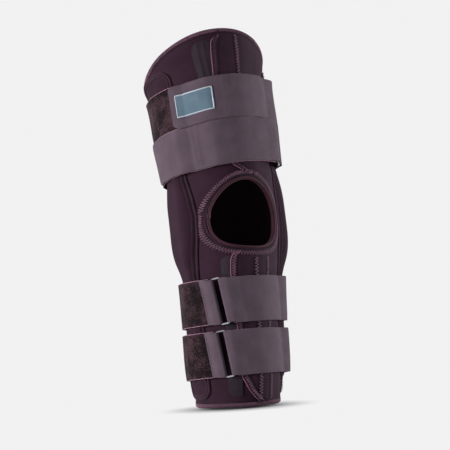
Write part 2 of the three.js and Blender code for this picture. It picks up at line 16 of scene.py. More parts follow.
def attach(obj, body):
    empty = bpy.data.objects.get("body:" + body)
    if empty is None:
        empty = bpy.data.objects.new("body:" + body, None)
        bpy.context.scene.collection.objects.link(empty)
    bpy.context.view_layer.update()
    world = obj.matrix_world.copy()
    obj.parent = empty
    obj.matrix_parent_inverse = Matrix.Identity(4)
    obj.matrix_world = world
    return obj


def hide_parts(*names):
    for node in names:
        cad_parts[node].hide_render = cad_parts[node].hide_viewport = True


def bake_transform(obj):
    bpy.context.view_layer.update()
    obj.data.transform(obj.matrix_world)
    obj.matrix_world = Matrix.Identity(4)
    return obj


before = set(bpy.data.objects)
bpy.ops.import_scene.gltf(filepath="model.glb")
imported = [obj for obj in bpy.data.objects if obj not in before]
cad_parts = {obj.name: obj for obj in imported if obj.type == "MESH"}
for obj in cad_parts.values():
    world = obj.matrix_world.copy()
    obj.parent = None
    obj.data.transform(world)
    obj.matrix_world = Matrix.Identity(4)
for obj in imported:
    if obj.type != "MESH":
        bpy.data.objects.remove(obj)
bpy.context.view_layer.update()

MM = 0.001
HALF_TAG = {1: "upper", -1: "lower"}

# ---------------------------------------------------------------- the leg's shape
REST_FLEXION = 14
LEG_CURVE = 56
KNOTS = np.array([-210, -192, -173, -120, -68, -42, -20, 0, 20, 58, 105, 160, 178, 214], float)
SHAPE = np.array(
    [
        [47.5, 48.5, 7],
        [49, 52, 7],
        [50.5, 56, 8],
        [50.7, 60, 8],
        [52.2, 60, 7],
        [55.2, 60, 6],
        [57, 61, 6],
        [57.6, 62, 6],
        [58.4, 63, 6],
        [58.6, 66, 6],
        [61.6, 70, 7],
        [64, 74.4, 8.2],
        [69.5, 75.8, 8.4],
        [74, 78.2, 9],
    ]
)
TOP_BACK, TOP_PEAK, BOTTOM = 170, 42, -210
THICKNESS = 4


def smooth(x, low, high):
    t = np.clip((np.asarray(x, float) - low) / (high - low), 0, 1)
    return t * t * (3 - 2 * t)


def lerp(a, b, t):
    return a + (b - a) * t


def section(s):
    """Half width, half depth and centre of the section at s, on a smooth curve through the stations."""
    s = np.clip(np.asarray(s, float), KNOTS[0], KNOTS[-1])
    last = len(KNOTS) - 1
    i = np.clip(np.searchsorted(KNOTS, s, side="right"), 1, last)
    t0, t1 = KNOTS[i - 1], KNOTS[i]
    before = np.where(i > 1, i - 2, i)
    after = np.where(i < last, i + 1, i - 1)
    half = (t1 - t0) / 2
    w_before = half / (t0 - np.where(i > 1, KNOTS[before], t1))
    w_after = half / (np.where(i < last, KNOTS[after], t0) - t1)
    p = (s - t0) / (t1 - t0)
    p2, p3 = p * p, p * p * p
    parts = [
        (-w_before * p3 + 2 * w_before * p2 - w_before * p, before),
        ((1 + w_before) * p3 - (1.5 + 2 * w_before) * p2 + (w_before - 0.5) * p + 1, i - 1),
        (-(1 + w_after) * p3 + (1.5 + w_after) * p2 + 0.5 * p, i),
        (w_after * (p3 - p2), after),
    ]
    value = sum(weight[..., None] * SHAPE[row] for weight, row in parts)
    return value[..., 0], value[..., 1], value[..., 2]


def axis_at(s):
    middle = math.radians(REST_FLEXION / 2)
    rate = middle / LEG_CURVE
    bent = np.clip(s, -LEG_CURVE, LEG_CURVE)
    angle = middle + rate * bent
    past = s - bent
    y = (math.cos(middle) - np.cos(angle)) / rate + past * np.sin(angle)
    z = (np.sin(angle) - math.sin(middle)) / rate + past * np.cos(angle)
    return angle, y, z


def surface(u, s, h=0.0):
    u, s, h = np.broadcast_arrays(np.asarray(u, float), np.asarray(s, float), np.asarray(h, float))
    half_width, half_depth, centre = section(s)
    angle, y, z = axis_at(s)
    turn = np.radians(u)
    back = centre - (half_depth + h) * np.cos(turn)
    across = (half_width + h) * np.sin(turn)
    return np.stack([across, y + back * np.cos(angle), z - back * np.sin(angle)], -1)


def radius_at(s):
    half_width, half_depth, _ = section(s)
    return (half_width + half_depth) / 2


def apart(a, b):
    return np.abs((np.asarray(a, float) - b + 180) % 360 - 180)


def top_edge(u):
    return TOP_BACK + TOP_PEAK * ((1 + np.cos(np.radians(u))) / 2) ** 1.5


# ---------------------------------------------------------------- hinge hardware under the pockets
STAY_WIDTH, STAY_THICKNESS, STAY_GAP = 16, 2, 0.9
HINGE_PLANE, FLAT_LENGTH, BEND_LENGTH = 59, 22, 34
PLATE_THICKNESS, PLATE_GAP = 1, 0.25
RIVET_HEAD = 0.9
POCKET_HALF, POCKET_CLEAR = 27, 1.2


def stay_reach(s):
    half_width, half_depth, centre = section(s)
    back = centre - STAY_WIDTH / 2 - POCKET_CLEAR
    sleeve = half_width * np.sqrt(1 - (back / half_depth) ** 2)
    flat = HINGE_PLANE + PLATE_THICKNESS + PLATE_GAP
    return lerp(flat, sleeve + STAY_GAP, smooth(np.abs(s), FLAT_LENGTH, FLAT_LENGTH + BEND_LENGTH))


def stay_angle(s):
    _, half_depth, centre = section(s)
    return np.degrees(np.arccos(centre / half_depth))


def pocket_height(u, s, flat_near=9.5, flat_hinge=13, slope=8, edge=0.4, hinge_end=(23, 34)):
    angle = apart(u, 0)
    hinge = 1 - smooth(np.abs(s), *hinge_end)
    outer = HINGE_PLANE + 2 * PLATE_THICKNESS + STAY_THICKNESS + 2 * PLATE_GAP
    metal = lerp(stay_reach(s) + STAY_THICKNESS, outer + RIVET_HEAD, hinge)
    flat = lerp(flat_near, flat_hinge, hinge)
    away = np.abs(np.radians(angle - stay_angle(s))) * radius_at(s)
    over = (metal + POCKET_CLEAR) / np.sin(np.radians(np.maximum(angle, 20))) - section(s)[0]
    return lerp(over, edge, smooth(away, flat, flat + slope))


# ---------------------------------------------------------------- straps' places
STRAP_WIDTH, WEBBING_WIDTH, STRAP_THICKNESS, STRAP_LIFT, LAYER_GAP = 48, 50.8, 1.4, 0.9, 0.6
STRAP_LEAN, STEP = 9, 12
WIRE, RING_WIDTH, RING_INSIDE, RING_CORNER = 2.4, 14, 49, 3.4
FOLD_INSIDE = WIRE / 2 + 0.4
FOLD_OUTSIDE = FOLD_INSIDE + STRAP_THICKNESS
FOLD_MIDDLE = (FOLD_INSIDE + FOLD_OUTSIDE) / 2
BAR_OFFSET = (RING_WIDTH - WIRE) / 2
KEEPER_ANGLE, HOOK_ANGLE = 12, 24
FLAP_TOP, STRIP_TOP = 3.5, 1.7
FLAPS = {1: (-14, 22), -1: (-20, 26)}
STRIPS = {1: (-31, -15), -1: (-34, -21)}


def cover_height(u, s):
    """The top of what lies over the sleeve at one place, in the frame's own solids."""
    half = np.where(s > 0, 1, -1)
    height = np.zeros(np.broadcast(u, s).shape)
    for side in (1, -1):
        for (start, end), top in ((FLAPS[side], FLAP_TOP), (STRIPS[side], STRIP_TOP)):
            under = apart(u, (start + end) / 2) <= (end - start) / 2 + 1
            height = np.where(under & (half == side), np.maximum(height, top), height)
    beside = np.minimum(apart(u, stay_angle(0)), apart(u, -stay_angle(0)))
    pocket = np.where(beside < POCKET_HALF + 1, pocket_height(u, s) + 1, 0)
    return np.maximum(height, pocket)


def node_points(name):
    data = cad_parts[name].data
    points = np.empty(len(data.vertices) * 3, np.float32)
    data.vertices.foreach_get("co", points)
    return points.reshape(-1, 3).astype(float) / MM


class Strap:
    def __init__(self, name, body, half, low, tilt, ring, side, slant, end, peel=None):
        self.name, self.body, self.half, self.low, self.ring = name, body, half, low, ring
        self.tilt, self.side, self.slant, self.end, self.peel = tilt, side, slant, end, peel
        grid = np.arange(-360, 481, STEP)
        raw = []
        for u in grid:
            near = np.arange(u - STEP - 4, u + STEP + 4.1, STEP / 4)[:, None]
            across = self.edge(u) + np.array([[0, STRAP_WIDTH / 2, STRAP_WIDTH]])
            raw.append(cover_height(near, across).max() + STRAP_LIFT)
        plain = np.array(raw)
        around = np.arange(ring - 2 * STEP, ring + 2 * STEP + 0.1, STEP / 3)
        self.level = np.interp(around, grid, plain).max()
        away = smooth(apart(grid, ring), STEP + 2, 2 * STEP)
        self.grid, self.heights = grid, lerp(self.level, plain, away)
        self.middle = low + STRAP_WIDTH / 2
        self.radius = radius_at(self.middle) + self.level
        points = node_points(name + "_ring")
        self.centre = points.mean(0)
        _, axes = np.linalg.eigh(np.cov((points - self.centre).T))
        out, along = axes[:, 0], axes[:, 2]
        outward = self.centre * [1, 1, 0] - [0, 10, 0]
        self.out = out * np.sign(out @ outward)
        self.along = along * np.sign(along[2])
        self.across = np.cross(self.along, self.out)

    def edge(self, u):
        turn = np.radians(u)
        return self.low + self.half * STRAP_LEAN * (1 - np.cos(turn)) / 2 + self.tilt * np.sin(turn)

    def base(self, u):
        away = smooth(apart(u, self.ring), 2 * STEP, 4 * STEP) * smooth(np.sin(np.radians(u)), 0, 0.5)
        return np.interp(u, self.grid, self.heights) - 1.5 * away

    def degrees(self, length):
        return np.degrees(length / self.radius)

    def bar(self, toward):
        return self.ring + toward * self.degrees(BAR_OFFSET + WIRE / 2 + 0.3)

    def over(self, toward, height, length):
        near = FOLD_OUTSIDE + FOLD_INSIDE + BAR_OFFSET**2 / (2 * self.radius)

        def value(u):
            away = smooth(apart(u, self.bar(toward)), 3, length)
            return self.base(u) + lerp(near, height, away)

        return value

    def tail_height(self, u):
        far = STRAP_THICKNESS + LAYER_GAP + 0.7
        return self.over(self.side, far, 2 * STEP)(u)

    def on_ring(self, across, along, out):
        """A point given in the ring's own frame."""
        parts = np.broadcast_arrays(across, along, out)
        axes = (self.across, self.along, self.out)
        return self.centre + sum(p[..., None] * axis for p, axis in zip(parts, axes))

    def on_leg(self, u, across, height):
        """A point of the strap at angle u, this far from its middle line, in the direction of its width."""
        middle = self.edge(u) + STRAP_WIDTH / 2
        turn = np.degrees(math.tan(math.radians(self.slant)) * across / radius_at(middle))
        return surface(u + turn, middle + across, height)


STRAPS = [
    Strap("upper_thigh", "thigh", 1, 104.4, 4, 76, -1, 0, -60),
    Strap("lower_thigh", "thigh", 1, 52.6, 4, 58, -1, 0, -104, peel=-20),
    Strap("upper_calf", "calf", -1, -113, 0, -36, 1, -8, 74),
    Strap("lower_calf", "calf", -1, -172, 0, -34, 1, -9, 74),
]

# ---------------------------------------------------------------- mesh making


def make(name, points, faces, material, uv=None, sharp=50):
    """A closed mesh piece from points in millimetres, normals out. uv is given per point, 1 to 10 mm."""
    mesh = bpy.data.meshes.new(name)
    mesh.from_pydata((np.asarray(points) * MM).tolist(), [], [list(f) for f in faces])
    work = bmesh.new()
    work.from_mesh(mesh)
    bmesh.ops.recalc_face_normals(work, faces=work.faces)
    work.to_mesh(mesh)
    work.free()
    if uv is not None:
        layer = mesh.uv_layers.new(name="cloth")
        corner = np.empty(len(mesh.loops), np.int32)
        mesh.loops.foreach_get("vertex_index", corner)
        layer.data.foreach_set("uv", np.asarray(uv, np.float32)[corner].ravel())
    mesh.shade_smooth()
    mesh.set_sharp_from_angle(angle=math.radians(sharp))
    mesh.materials.append(material)
    piece = bpy.data.objects.new(name, mesh)
    bpy.context.scene.collection.objects.link(piece)
    return piece


def grid_faces(columns, rows, first=0, loop=False):
    i, j = np.meshgrid(np.arange(columns if loop else columns - 1), np.arange(rows - 1), indexing="ij")
    a = first + i * rows + j
    b = first + (i + 1) % columns * rows + j
    return np.stack([a, b, b + 1, a + 1], -1).reshape(-1, 4)


def shell_faces(columns, rows):
    """Faces of two grids of points, one over the other, closed round their edges."""
    count = columns * rows
    top = grid_faces(columns, rows)
    bottom = grid_faces(columns, rows, count)[:, ::-1]
    rim = [i * rows for i in range(columns)]
    rim += [(columns - 1) * rows + j for j in range(1, rows)]
    rim += [i * rows + rows - 1 for i in range(columns - 2, -1, -1)]
    rim += list(range(rows - 2, 0, -1))
    walls = [[a, a + count, b + count, b] for a, b in zip(rim, rim[1:] + rim[:1])]
    return top.tolist() + bottom.tolist() + walls


def stops(length, spacing, edge):
    """Distances from 0 to length, close together at both ends where the edge is rounded."""
    near = np.array([0, 0.1, 0.32, 0.65, 1]) * edge
    count = max(2, int(round((length - 2 * edge) / spacing)) + 1)
    return np.concatenate([near[:-1], np.linspace(edge, length - edge, count), length - near[:-1][::-1]])


def slab(middle, thickness, edge=0.7, square=()):
    """A sheet of cloth round a grid of middle points. Its edges are rounded, but for those in square."""
    along, across = np.gradient(middle, axis=0), np.gradient(middle, axis=1)
    normal = np.cross(along, across)
    normal /= np.maximum(np.linalg.norm(normal, axis=-1, keepdims=True), 1e-9)
    step_along = np.linalg.norm(np.diff(middle, axis=0), axis=-1)
    step_across = np.linalg.norm(np.diff(middle, axis=1), axis=-1)
    run = np.concatenate([np.zeros((1, middle.shape[1])), np.cumsum(step_along, 0)])
    side = np.concatenate([np.zeros((middle.shape[0], 1)), np.cumsum(step_across, 1)], 1)
    gaps = {"start": run, "end": run[-1:] - run, "left": side, "right": side[:, -1:] - side}
    gap = np.min([g for k, g in gaps.items() if k not in square], axis=0)
    share = np.clip(gap / edge, 0, 1)
    half = thickness / 2 * (0.35 + 0.65 * np.sqrt(1 - (1 - share) ** 2))
    half = np.broadcast_to(half, middle.shape[:2])[..., None]
    faces_of_cloth = [(middle + normal * half).reshape(-1, 3), (middle - normal * half).reshape(-1, 3)]
    points = np.concatenate(faces_of_cloth)
    uv = np.stack([run.mean(1, keepdims=True) + 0 * run, side], -1).reshape(-1, 2) / 10
    return points, shell_faces(*middle.shape[:2]), np.concatenate([uv, uv + 0.37])


def tube(points, radius, sides=6, closed=False):
    """Points and faces of a round wire along a line."""
    points = np.asarray(points, float)
    if closed:
        tangent = np.roll(points, -1, 0) - np.roll(points, 1, 0)
    else:
        tangent = np.gradient(points, axis=0)
    tangent /= np.maximum(np.linalg.norm(tangent, axis=1, keepdims=True), 1e-9)
    first = np.cross(tangent[0], [0.31, 0.17, 0.93])
    normal = [first / np.linalg.norm(first)]
    for t in tangent[1:]:
        n = normal[-1] - (normal[-1] @ t) * t
        normal.append(n / max(np.linalg.norm(n), 1e-9))
    normal = np.array(normal)
    other = np.cross(tangent, normal)
    turn = np.linspace(0, 2 * np.pi, sides, endpoint=False)
    radius = np.broadcast_to(radius, (len(points),))[:, None, None]
    ring = normal[:, None] * np.cos(turn)[None, :, None] + other[:, None] * np.sin(turn)[None, :, None]
    made = (points[:, None] + ring * radius).reshape(-1, 3)
    count = len(points)
    faces = []
    for i in range(count if closed else count - 1):
        for k in range(sides):
            a, b = i * sides + k, i * sides + (k + 1) % sides
            c, d = (i + 1) % count * sides + (k + 1) % sides, (i + 1) % count * sides + k
            faces.append([a, b, c, d])
    if not closed:
        faces += [list(range(sides))[::-1], list(range((count - 1) * sides, count * sides))]
    return made, faces


def thread(name, lines, material, radius=0.28, sides=5, closed=False):
    """One piece from many lines of thread."""
    points, faces, uv, first = [], [], [], 0
    for line in lines:
        taper = radius if closed else radius * np.r_[0.5, np.ones(max(len(line) - 2, 0)), 0.5]
        made, found = tube(line, taper, sides, closed)
        points.append(made)
        faces += [[first + k for k in f] for f in found]
        run = np.repeat(np.arange(len(line)), sides) / 10
        uv.append(np.stack([run, np.tile(np.arange(sides), len(line)) / sides], -1))
        first += len(made)
    return make(name, np.concatenate(points), faces, material, np.concatenate(uv), sharp=80)


# ---------------------------------------------------------------- materials


def node(tree, kind, inputs=None, **settings):
    made = tree.nodes.new(kind)
    for key, value in settings.items():
        setattr(made, key, value)
    for key, value in (inputs or {}).items():
        if isinstance(value, bpy.types.NodeSocket):
            tree.links.new(value, made.inputs[key])
        else:
            made.inputs[key].default_value = value
    return made


def srgb(r, g, b):
    def linear(c):
        c /= 255
        return c / 12.92 if c <= 0.04045 else ((c + 0.055) / 1.055) ** 2.4

    return (linear(r), linear(g), linear(b), 1)


def maths(tree, operation, a, b):
    return node(tree, "ShaderNodeMath", {0: a, 1: b}, operation=operation).outputs[0]


def bands(tree, vector, pitch, direction, distortion=0.0, detail_scale=1.0):
    """Sine bands this many millimetres apart, along X or Y of the cloth."""
    values = {"Vector": vector, "Scale": 3.14159 / pitch}
    values |= {"Distortion": distortion, "Detail Scale": detail_scale}
    wave = node(tree, "ShaderNodeTexWave", values, bands_direction=direction, wave_profile="SIN")
    return wave.outputs["Fac"]


def noise(tree, vector, size, detail=2.0, rough=0.5):
    """Soft noise whose lumps are about this many millimetres across."""
    values = {"Vector": vector, "Scale": 10 / size, "Detail": detail, "Roughness": rough}
    return node(tree, "ShaderNodeTexNoise", values).outputs["Fac"]


def between(tree, factor, dark, light):
    ramp = node(tree, "ShaderNodeValToRGB", {"Fac": factor})
    ramp.color_ramp.elements[0].color = dark
    ramp.color_ramp.elements[1].color = light
    return ramp


def cloth(name, dark, light, rough, pattern, pitch, relief, sheen=0.3, tint=(1, 1, 1, 1), low=0.3, high=0.7):
    """A fabric: two tones in soft patches and in its weave, and a relief from its weave and lumps."""
    material = bpy.data.materials.new(name)
    material.use_nodes = True
    tree = material.node_tree
    shader = tree.nodes["Principled BSDF"]
    coordinate = node(tree, "ShaderNodeUVMap", uv_map="cloth").outputs["UV"]
    patches = noise(tree, coordinate, 22, 4, 0.6)
    grain = noise(tree, coordinate, 1.6, 3, 0.7)
    if pattern == "rib":
        weave = bands(tree, coordinate, pitch, "Y", 0.6)
    elif pattern == "weave":
        weft = bands(tree, coordinate, pitch, "Y")
        weave = maths(tree, "MULTIPLY", bands(tree, coordinate, pitch, "X"), weft)
    elif pattern == "knit":
        rows = bands(tree, coordinate, 1.3 * pitch, "Y", 1.4, 3)
        weave = maths(tree, "MAXIMUM", bands(tree, coordinate, pitch, "X", 1.4, 3), rows)
    elif pattern == "hook":
        values = {"Vector": coordinate, "Scale": 10 / pitch, "Randomness": 0.25}
        cell = node(tree, "ShaderNodeTexVoronoi", values)
        weave = maths(tree, "SUBTRACT", 1.0, cell.outputs["Distance"])
    else:
        cell = node(tree, "ShaderNodeTexVoronoi", {"Vector": coordinate, "Scale": 10 / pitch})
        weave = maths(tree, "MULTIPLY", maths(tree, "SUBTRACT", 1.0, cell.outputs["Distance"]), grain)
    tone = maths(tree, "ADD", maths(tree, "MULTIPLY", patches, 0.55), maths(tree, "MULTIPLY", weave, 0.2))
    tone = maths(tree, "ADD", tone, maths(tree, "MULTIPLY", grain, 0.25))
    ramp = between(tree, tone, dark, light)
    ramp.color_ramp.elements[0].position = low
    ramp.color_ramp.elements[1].position = high
    height = maths(tree, "ADD", weave, maths(tree, "MULTIPLY", grain, 0.8))
    bump = node(tree, "ShaderNodeBump", {"Height": height, "Strength": 0.6, "Distance": relief * MM})
    tree.links.new(ramp.outputs["Color"], shader.inputs["Base Color"])
    tree.links.new(bump.outputs["Normal"], shader.inputs["Normal"])
    shader.inputs["Roughness"].default_value = rough
    shader.inputs["Sheen Weight"].default_value = sheen
    shader.inputs["Sheen Roughness"].default_value = 0.45
    shader.inputs["Sheen Tint"].default_value = tint
    shader.inputs["Specular IOR Level"].default_value = 0.06
    return material


def metal(name, dark, light, rough, pitch, relief):
    material = bpy.data.materials.new(name)
    material.use_nodes = True
    tree = material.node_tree
    shader = tree.nodes["Principled BSDF"]
    place = node(tree, "ShaderNodeTexCoord").outputs["Object"]
    stretched = node(tree, "ShaderNodeMapping", {"Vector": place, "Scale": (1, 1, 0.08)}).outputs["Vector"]
    values = {"Vector": stretched, "Scale": 1 / (pitch * MM), "Detail": 3.0}
    brushed = node(tree, "ShaderNodeTexNoise", values)
    worn = node(tree, "ShaderNodeTexNoise", {"Vector": place, "Scale": 90.0, "Detail": 4.0})
    ramp = between(tree, worn.outputs["Fac"], dark, light)
    ramp.color_ramp.elements[0].position = 0.35
    ramp.color_ramp.elements[1].position = 0.65
    gloss = node(
        tree,
        "ShaderNodeMapRange",
        {"Value": brushed.outputs["Fac"], "To Min": rough * 0.8, "To Max": rough * 1.3},
    )
    values = {"Height": brushed.outputs["Fac"], "Strength": 0.3, "Distance": relief * MM}
    bump = node(tree, "ShaderNodeBump", values)
    tree.links.new(ramp.outputs["Color"], shader.inputs["Base Color"])
    tree.links.new(gloss.outputs["Result"], shader.inputs["Roughness"])
    tree.links.new(bump.outputs["Normal"], shader.inputs["Normal"])
    shader.inputs["Metallic"].default_value = 1.0
    return material


PINK, PALE_PINK = (0.85, 0.6, 0.75, 1), (0.9, 0.85, 0.9, 1)
KNIT = (0.8, "knit", 0.9, 0.25, 0.02, PINK, 0.25, 0.75)
NEOPRENE = cloth("neoprene", srgb(14, 5, 11), srgb(31, 14, 26), *KNIT)
WEBBING = cloth("webbing", srgb(46, 37, 44), srgb(63, 52, 61), 0.7, "weave", 0.8, 0.25, 0.03, PALE_PINK)
PILE = cloth("loop_pile", srgb(5, 2, 3), srgb(60, 41, 47), 0.95, "loops", 2.2, 0.9, 0.05, PINK, 0.4, 0.72)
HOOK = cloth("hook_tape", srgb(12, 7, 11), srgb(32, 23, 31), 0.5, "hook", 1.0, 0.5, 0.03)
TAPE = cloth("binding_tape", srgb(22, 7, 13), srgb(44, 18, 28), 0.6, "rib", 0.9, 0.2, 0.05, PINK)
SEAM = cloth("seam_tape", srgb(14, 5, 10), srgb(34, 17, 27), 0.7, "rib", 0.9, 0.2, 0.05, PINK)
BED = cloth("overlock_bed", srgb(8, 3, 6), srgb(34, 17, 28), 0.8, "loops", 1.8, 0.6, 0.03, PINK, 0.35, 0.7)
THREAD = cloth("thread", srgb(58, 37, 48), srgb(98, 70, 86), 0.5, "rib", 0.6, 0.1, 0.1, PINK)
DARK_THREAD = cloth("dark_thread", srgb(26, 12, 21), srgb(58, 35, 48), 0.5, "rib", 0.6, 0.1, 0.1, PINK)
PIPING = cloth("piping", srgb(72, 43, 59), srgb(102, 68, 86), 0.7, "rib", 0.6, 0.08, 0.1, PINK)
SELVEDGE = cloth("selvedge", srgb(70, 50, 58), srgb(112, 86, 96), 0.75, "rib", 0.6, 0.08, 0.08, PINK)
PATCH = cloth("label_cloth", srgb(46, 60, 70), srgb(68, 82, 92), 0.6, "weave", 0.55, 0.1, 0.05)
PATCH_BORDER = cloth("label_border", srgb(100, 108, 116), srgb(136, 142, 150), 0.6, "rib", 0.5, 0.12, 0.05)
NICKEL = metal("nickel", (0.22, 0.22, 0.23, 1), (0.45, 0.45, 0.47, 1), 0.16, 1.5, 0.02)
STEEL = metal("steel", (0.32, 0.33, 0.34, 1), (0.5, 0.5, 0.52, 1), 0.3, 0.6, 0.02)
ALLOY = metal("alloy", (0.5, 0.51, 0.52, 1), (0.68, 0.69, 0.7, 1), 0.38, 0.5, 0.03)

# ---------------------------------------------------------------- riding and baking in place


MIDDLE_TILT = math.radians(REST_FLEXION / 2)


def knee_blend(piece, half):
    """The piece's transform is baked into its mesh, the same for half 1 above the hinge's middle and -1 below
    it.
    """
    if half > 0:
        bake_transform(piece)
    else:
        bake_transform(piece)


def finish_piece(piece, body, replaces=()):
    if replaces:
        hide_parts(*replaces)
    if body in (1, -1):
        knee_blend(piece, body)
    elif body:
        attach(piece, body)
    return piece


# ---------------------------------------------------------------- sleeve's own relief


def relief(u, s):
    """Height of the soft folds: pressed in by the straps, swollen between them, wrinkled at the knee."""
    u, s = np.broadcast_arrays(np.asarray(u, float), np.asarray(s, float))
    press = np.zeros(u.shape)
    for strap in STRAPS:
        distance = np.abs(s - strap.edge(u) - STRAP_WIDTH / 2) - WEBBING_WIDTH / 2
        press = np.maximum(press, 1 - smooth(distance, -3, 7))
    turn = np.radians(u)
    behind = np.exp(-((s - 2) / 34) ** 2) * smooth(np.abs(apart(u, 0)), 95, 150)
    folds = behind * 0.9 * np.sin(s / 4.6 + 1.3 * np.sin(2.1 * turn) + 0.7 * np.sin(3 * turn + 1))
    gentle = 0.35 * np.sin(s / 13 + 2.2 * np.sin(turn + 0.4)) * np.sin(2 * turn + s / 37)
    gentle += 0.25 * np.sin(s / 7.3 + 3 * turn) * np.sin(5 * turn - s / 21 + 1)
    return (1 - press) * (0.5 + gentle + folds) - 0.5 * press


# ---------------------------------------------------------------- patella opening
HOLE_CENTRE, HOLE_HALF_WIDTH, HOLE_HALF_HEIGHT, HOLE_EGG, HOLE_RISE = 4, 43, 41, 0.12, 1.4
HOLE_TILT = math.radians(-5)


def hole_outline(phi, grow=0.0):
    """The opening's outline as a point (x, z) in the plane across the knee's front."""
    up, out = np.sin(phi), np.cos(phi)
    corner = 2 + 0.5 * smooth(-up, 0, 1)
    r = (np.abs(out) ** corner + np.abs(up) ** corner) ** (-1 / corner)
    x = (HOLE_HALF_WIDTH + grow) * (1 - HOLE_EGG * up) * out * r
    z = (HOLE_HALF_HEIGHT + grow) * up * r
    c, d = math.cos(HOLE_TILT), math.sin(HOLE_TILT)
    return x * c - z * d, x * d + z * c + HOLE_RISE


def on_front(x, z):
    """The place (u, s) on the sleeve that lies straight behind the point (x, z) of that plane."""
    x, z = np.asarray(x, float), np.asarray(z, float)
    turn = math.radians(HOLE_CENTRE)

    def seen(u, s):
        p = surface(u, s)
        level = p[..., 1] * math.cos(MIDDLE_TILT) - p[..., 2] * math.sin(MIDDLE_TILT)
        height = p[..., 1] * math.sin(MIDDLE_TILT) + p[..., 2] * math.cos(MIDDLE_TILT)
        return p[..., 0] * math.cos(turn) + level * math.sin(turn), height

    u, s = np.degrees(np.arcsin(np.clip(x / 62, -0.95, 0.95))) + HOLE_CENTRE, z.copy()
    for _ in range(8):
        fx, fz = seen(u, s)
        ax, az = seen(u + 0.01, s)
        bx, bz = seen(u, s + 0.01)
        a, c = (ax - fx) / 0.01, (az - fz) / 0.01
        b, d = (bx - fx) / 0.01, (bz - fz) / 0.01
        det = a * d - b * c
        u = u + (d * (x - fx) - b * (z - fz)) / det
        s = s + (a * (z - fz) - c * (x - fx)) / det
    return u, s


# ---------------------------------------------------------------- sleeve
RECT_U, RECT_S, COLUMN = (-54, 63), 52, 1.5


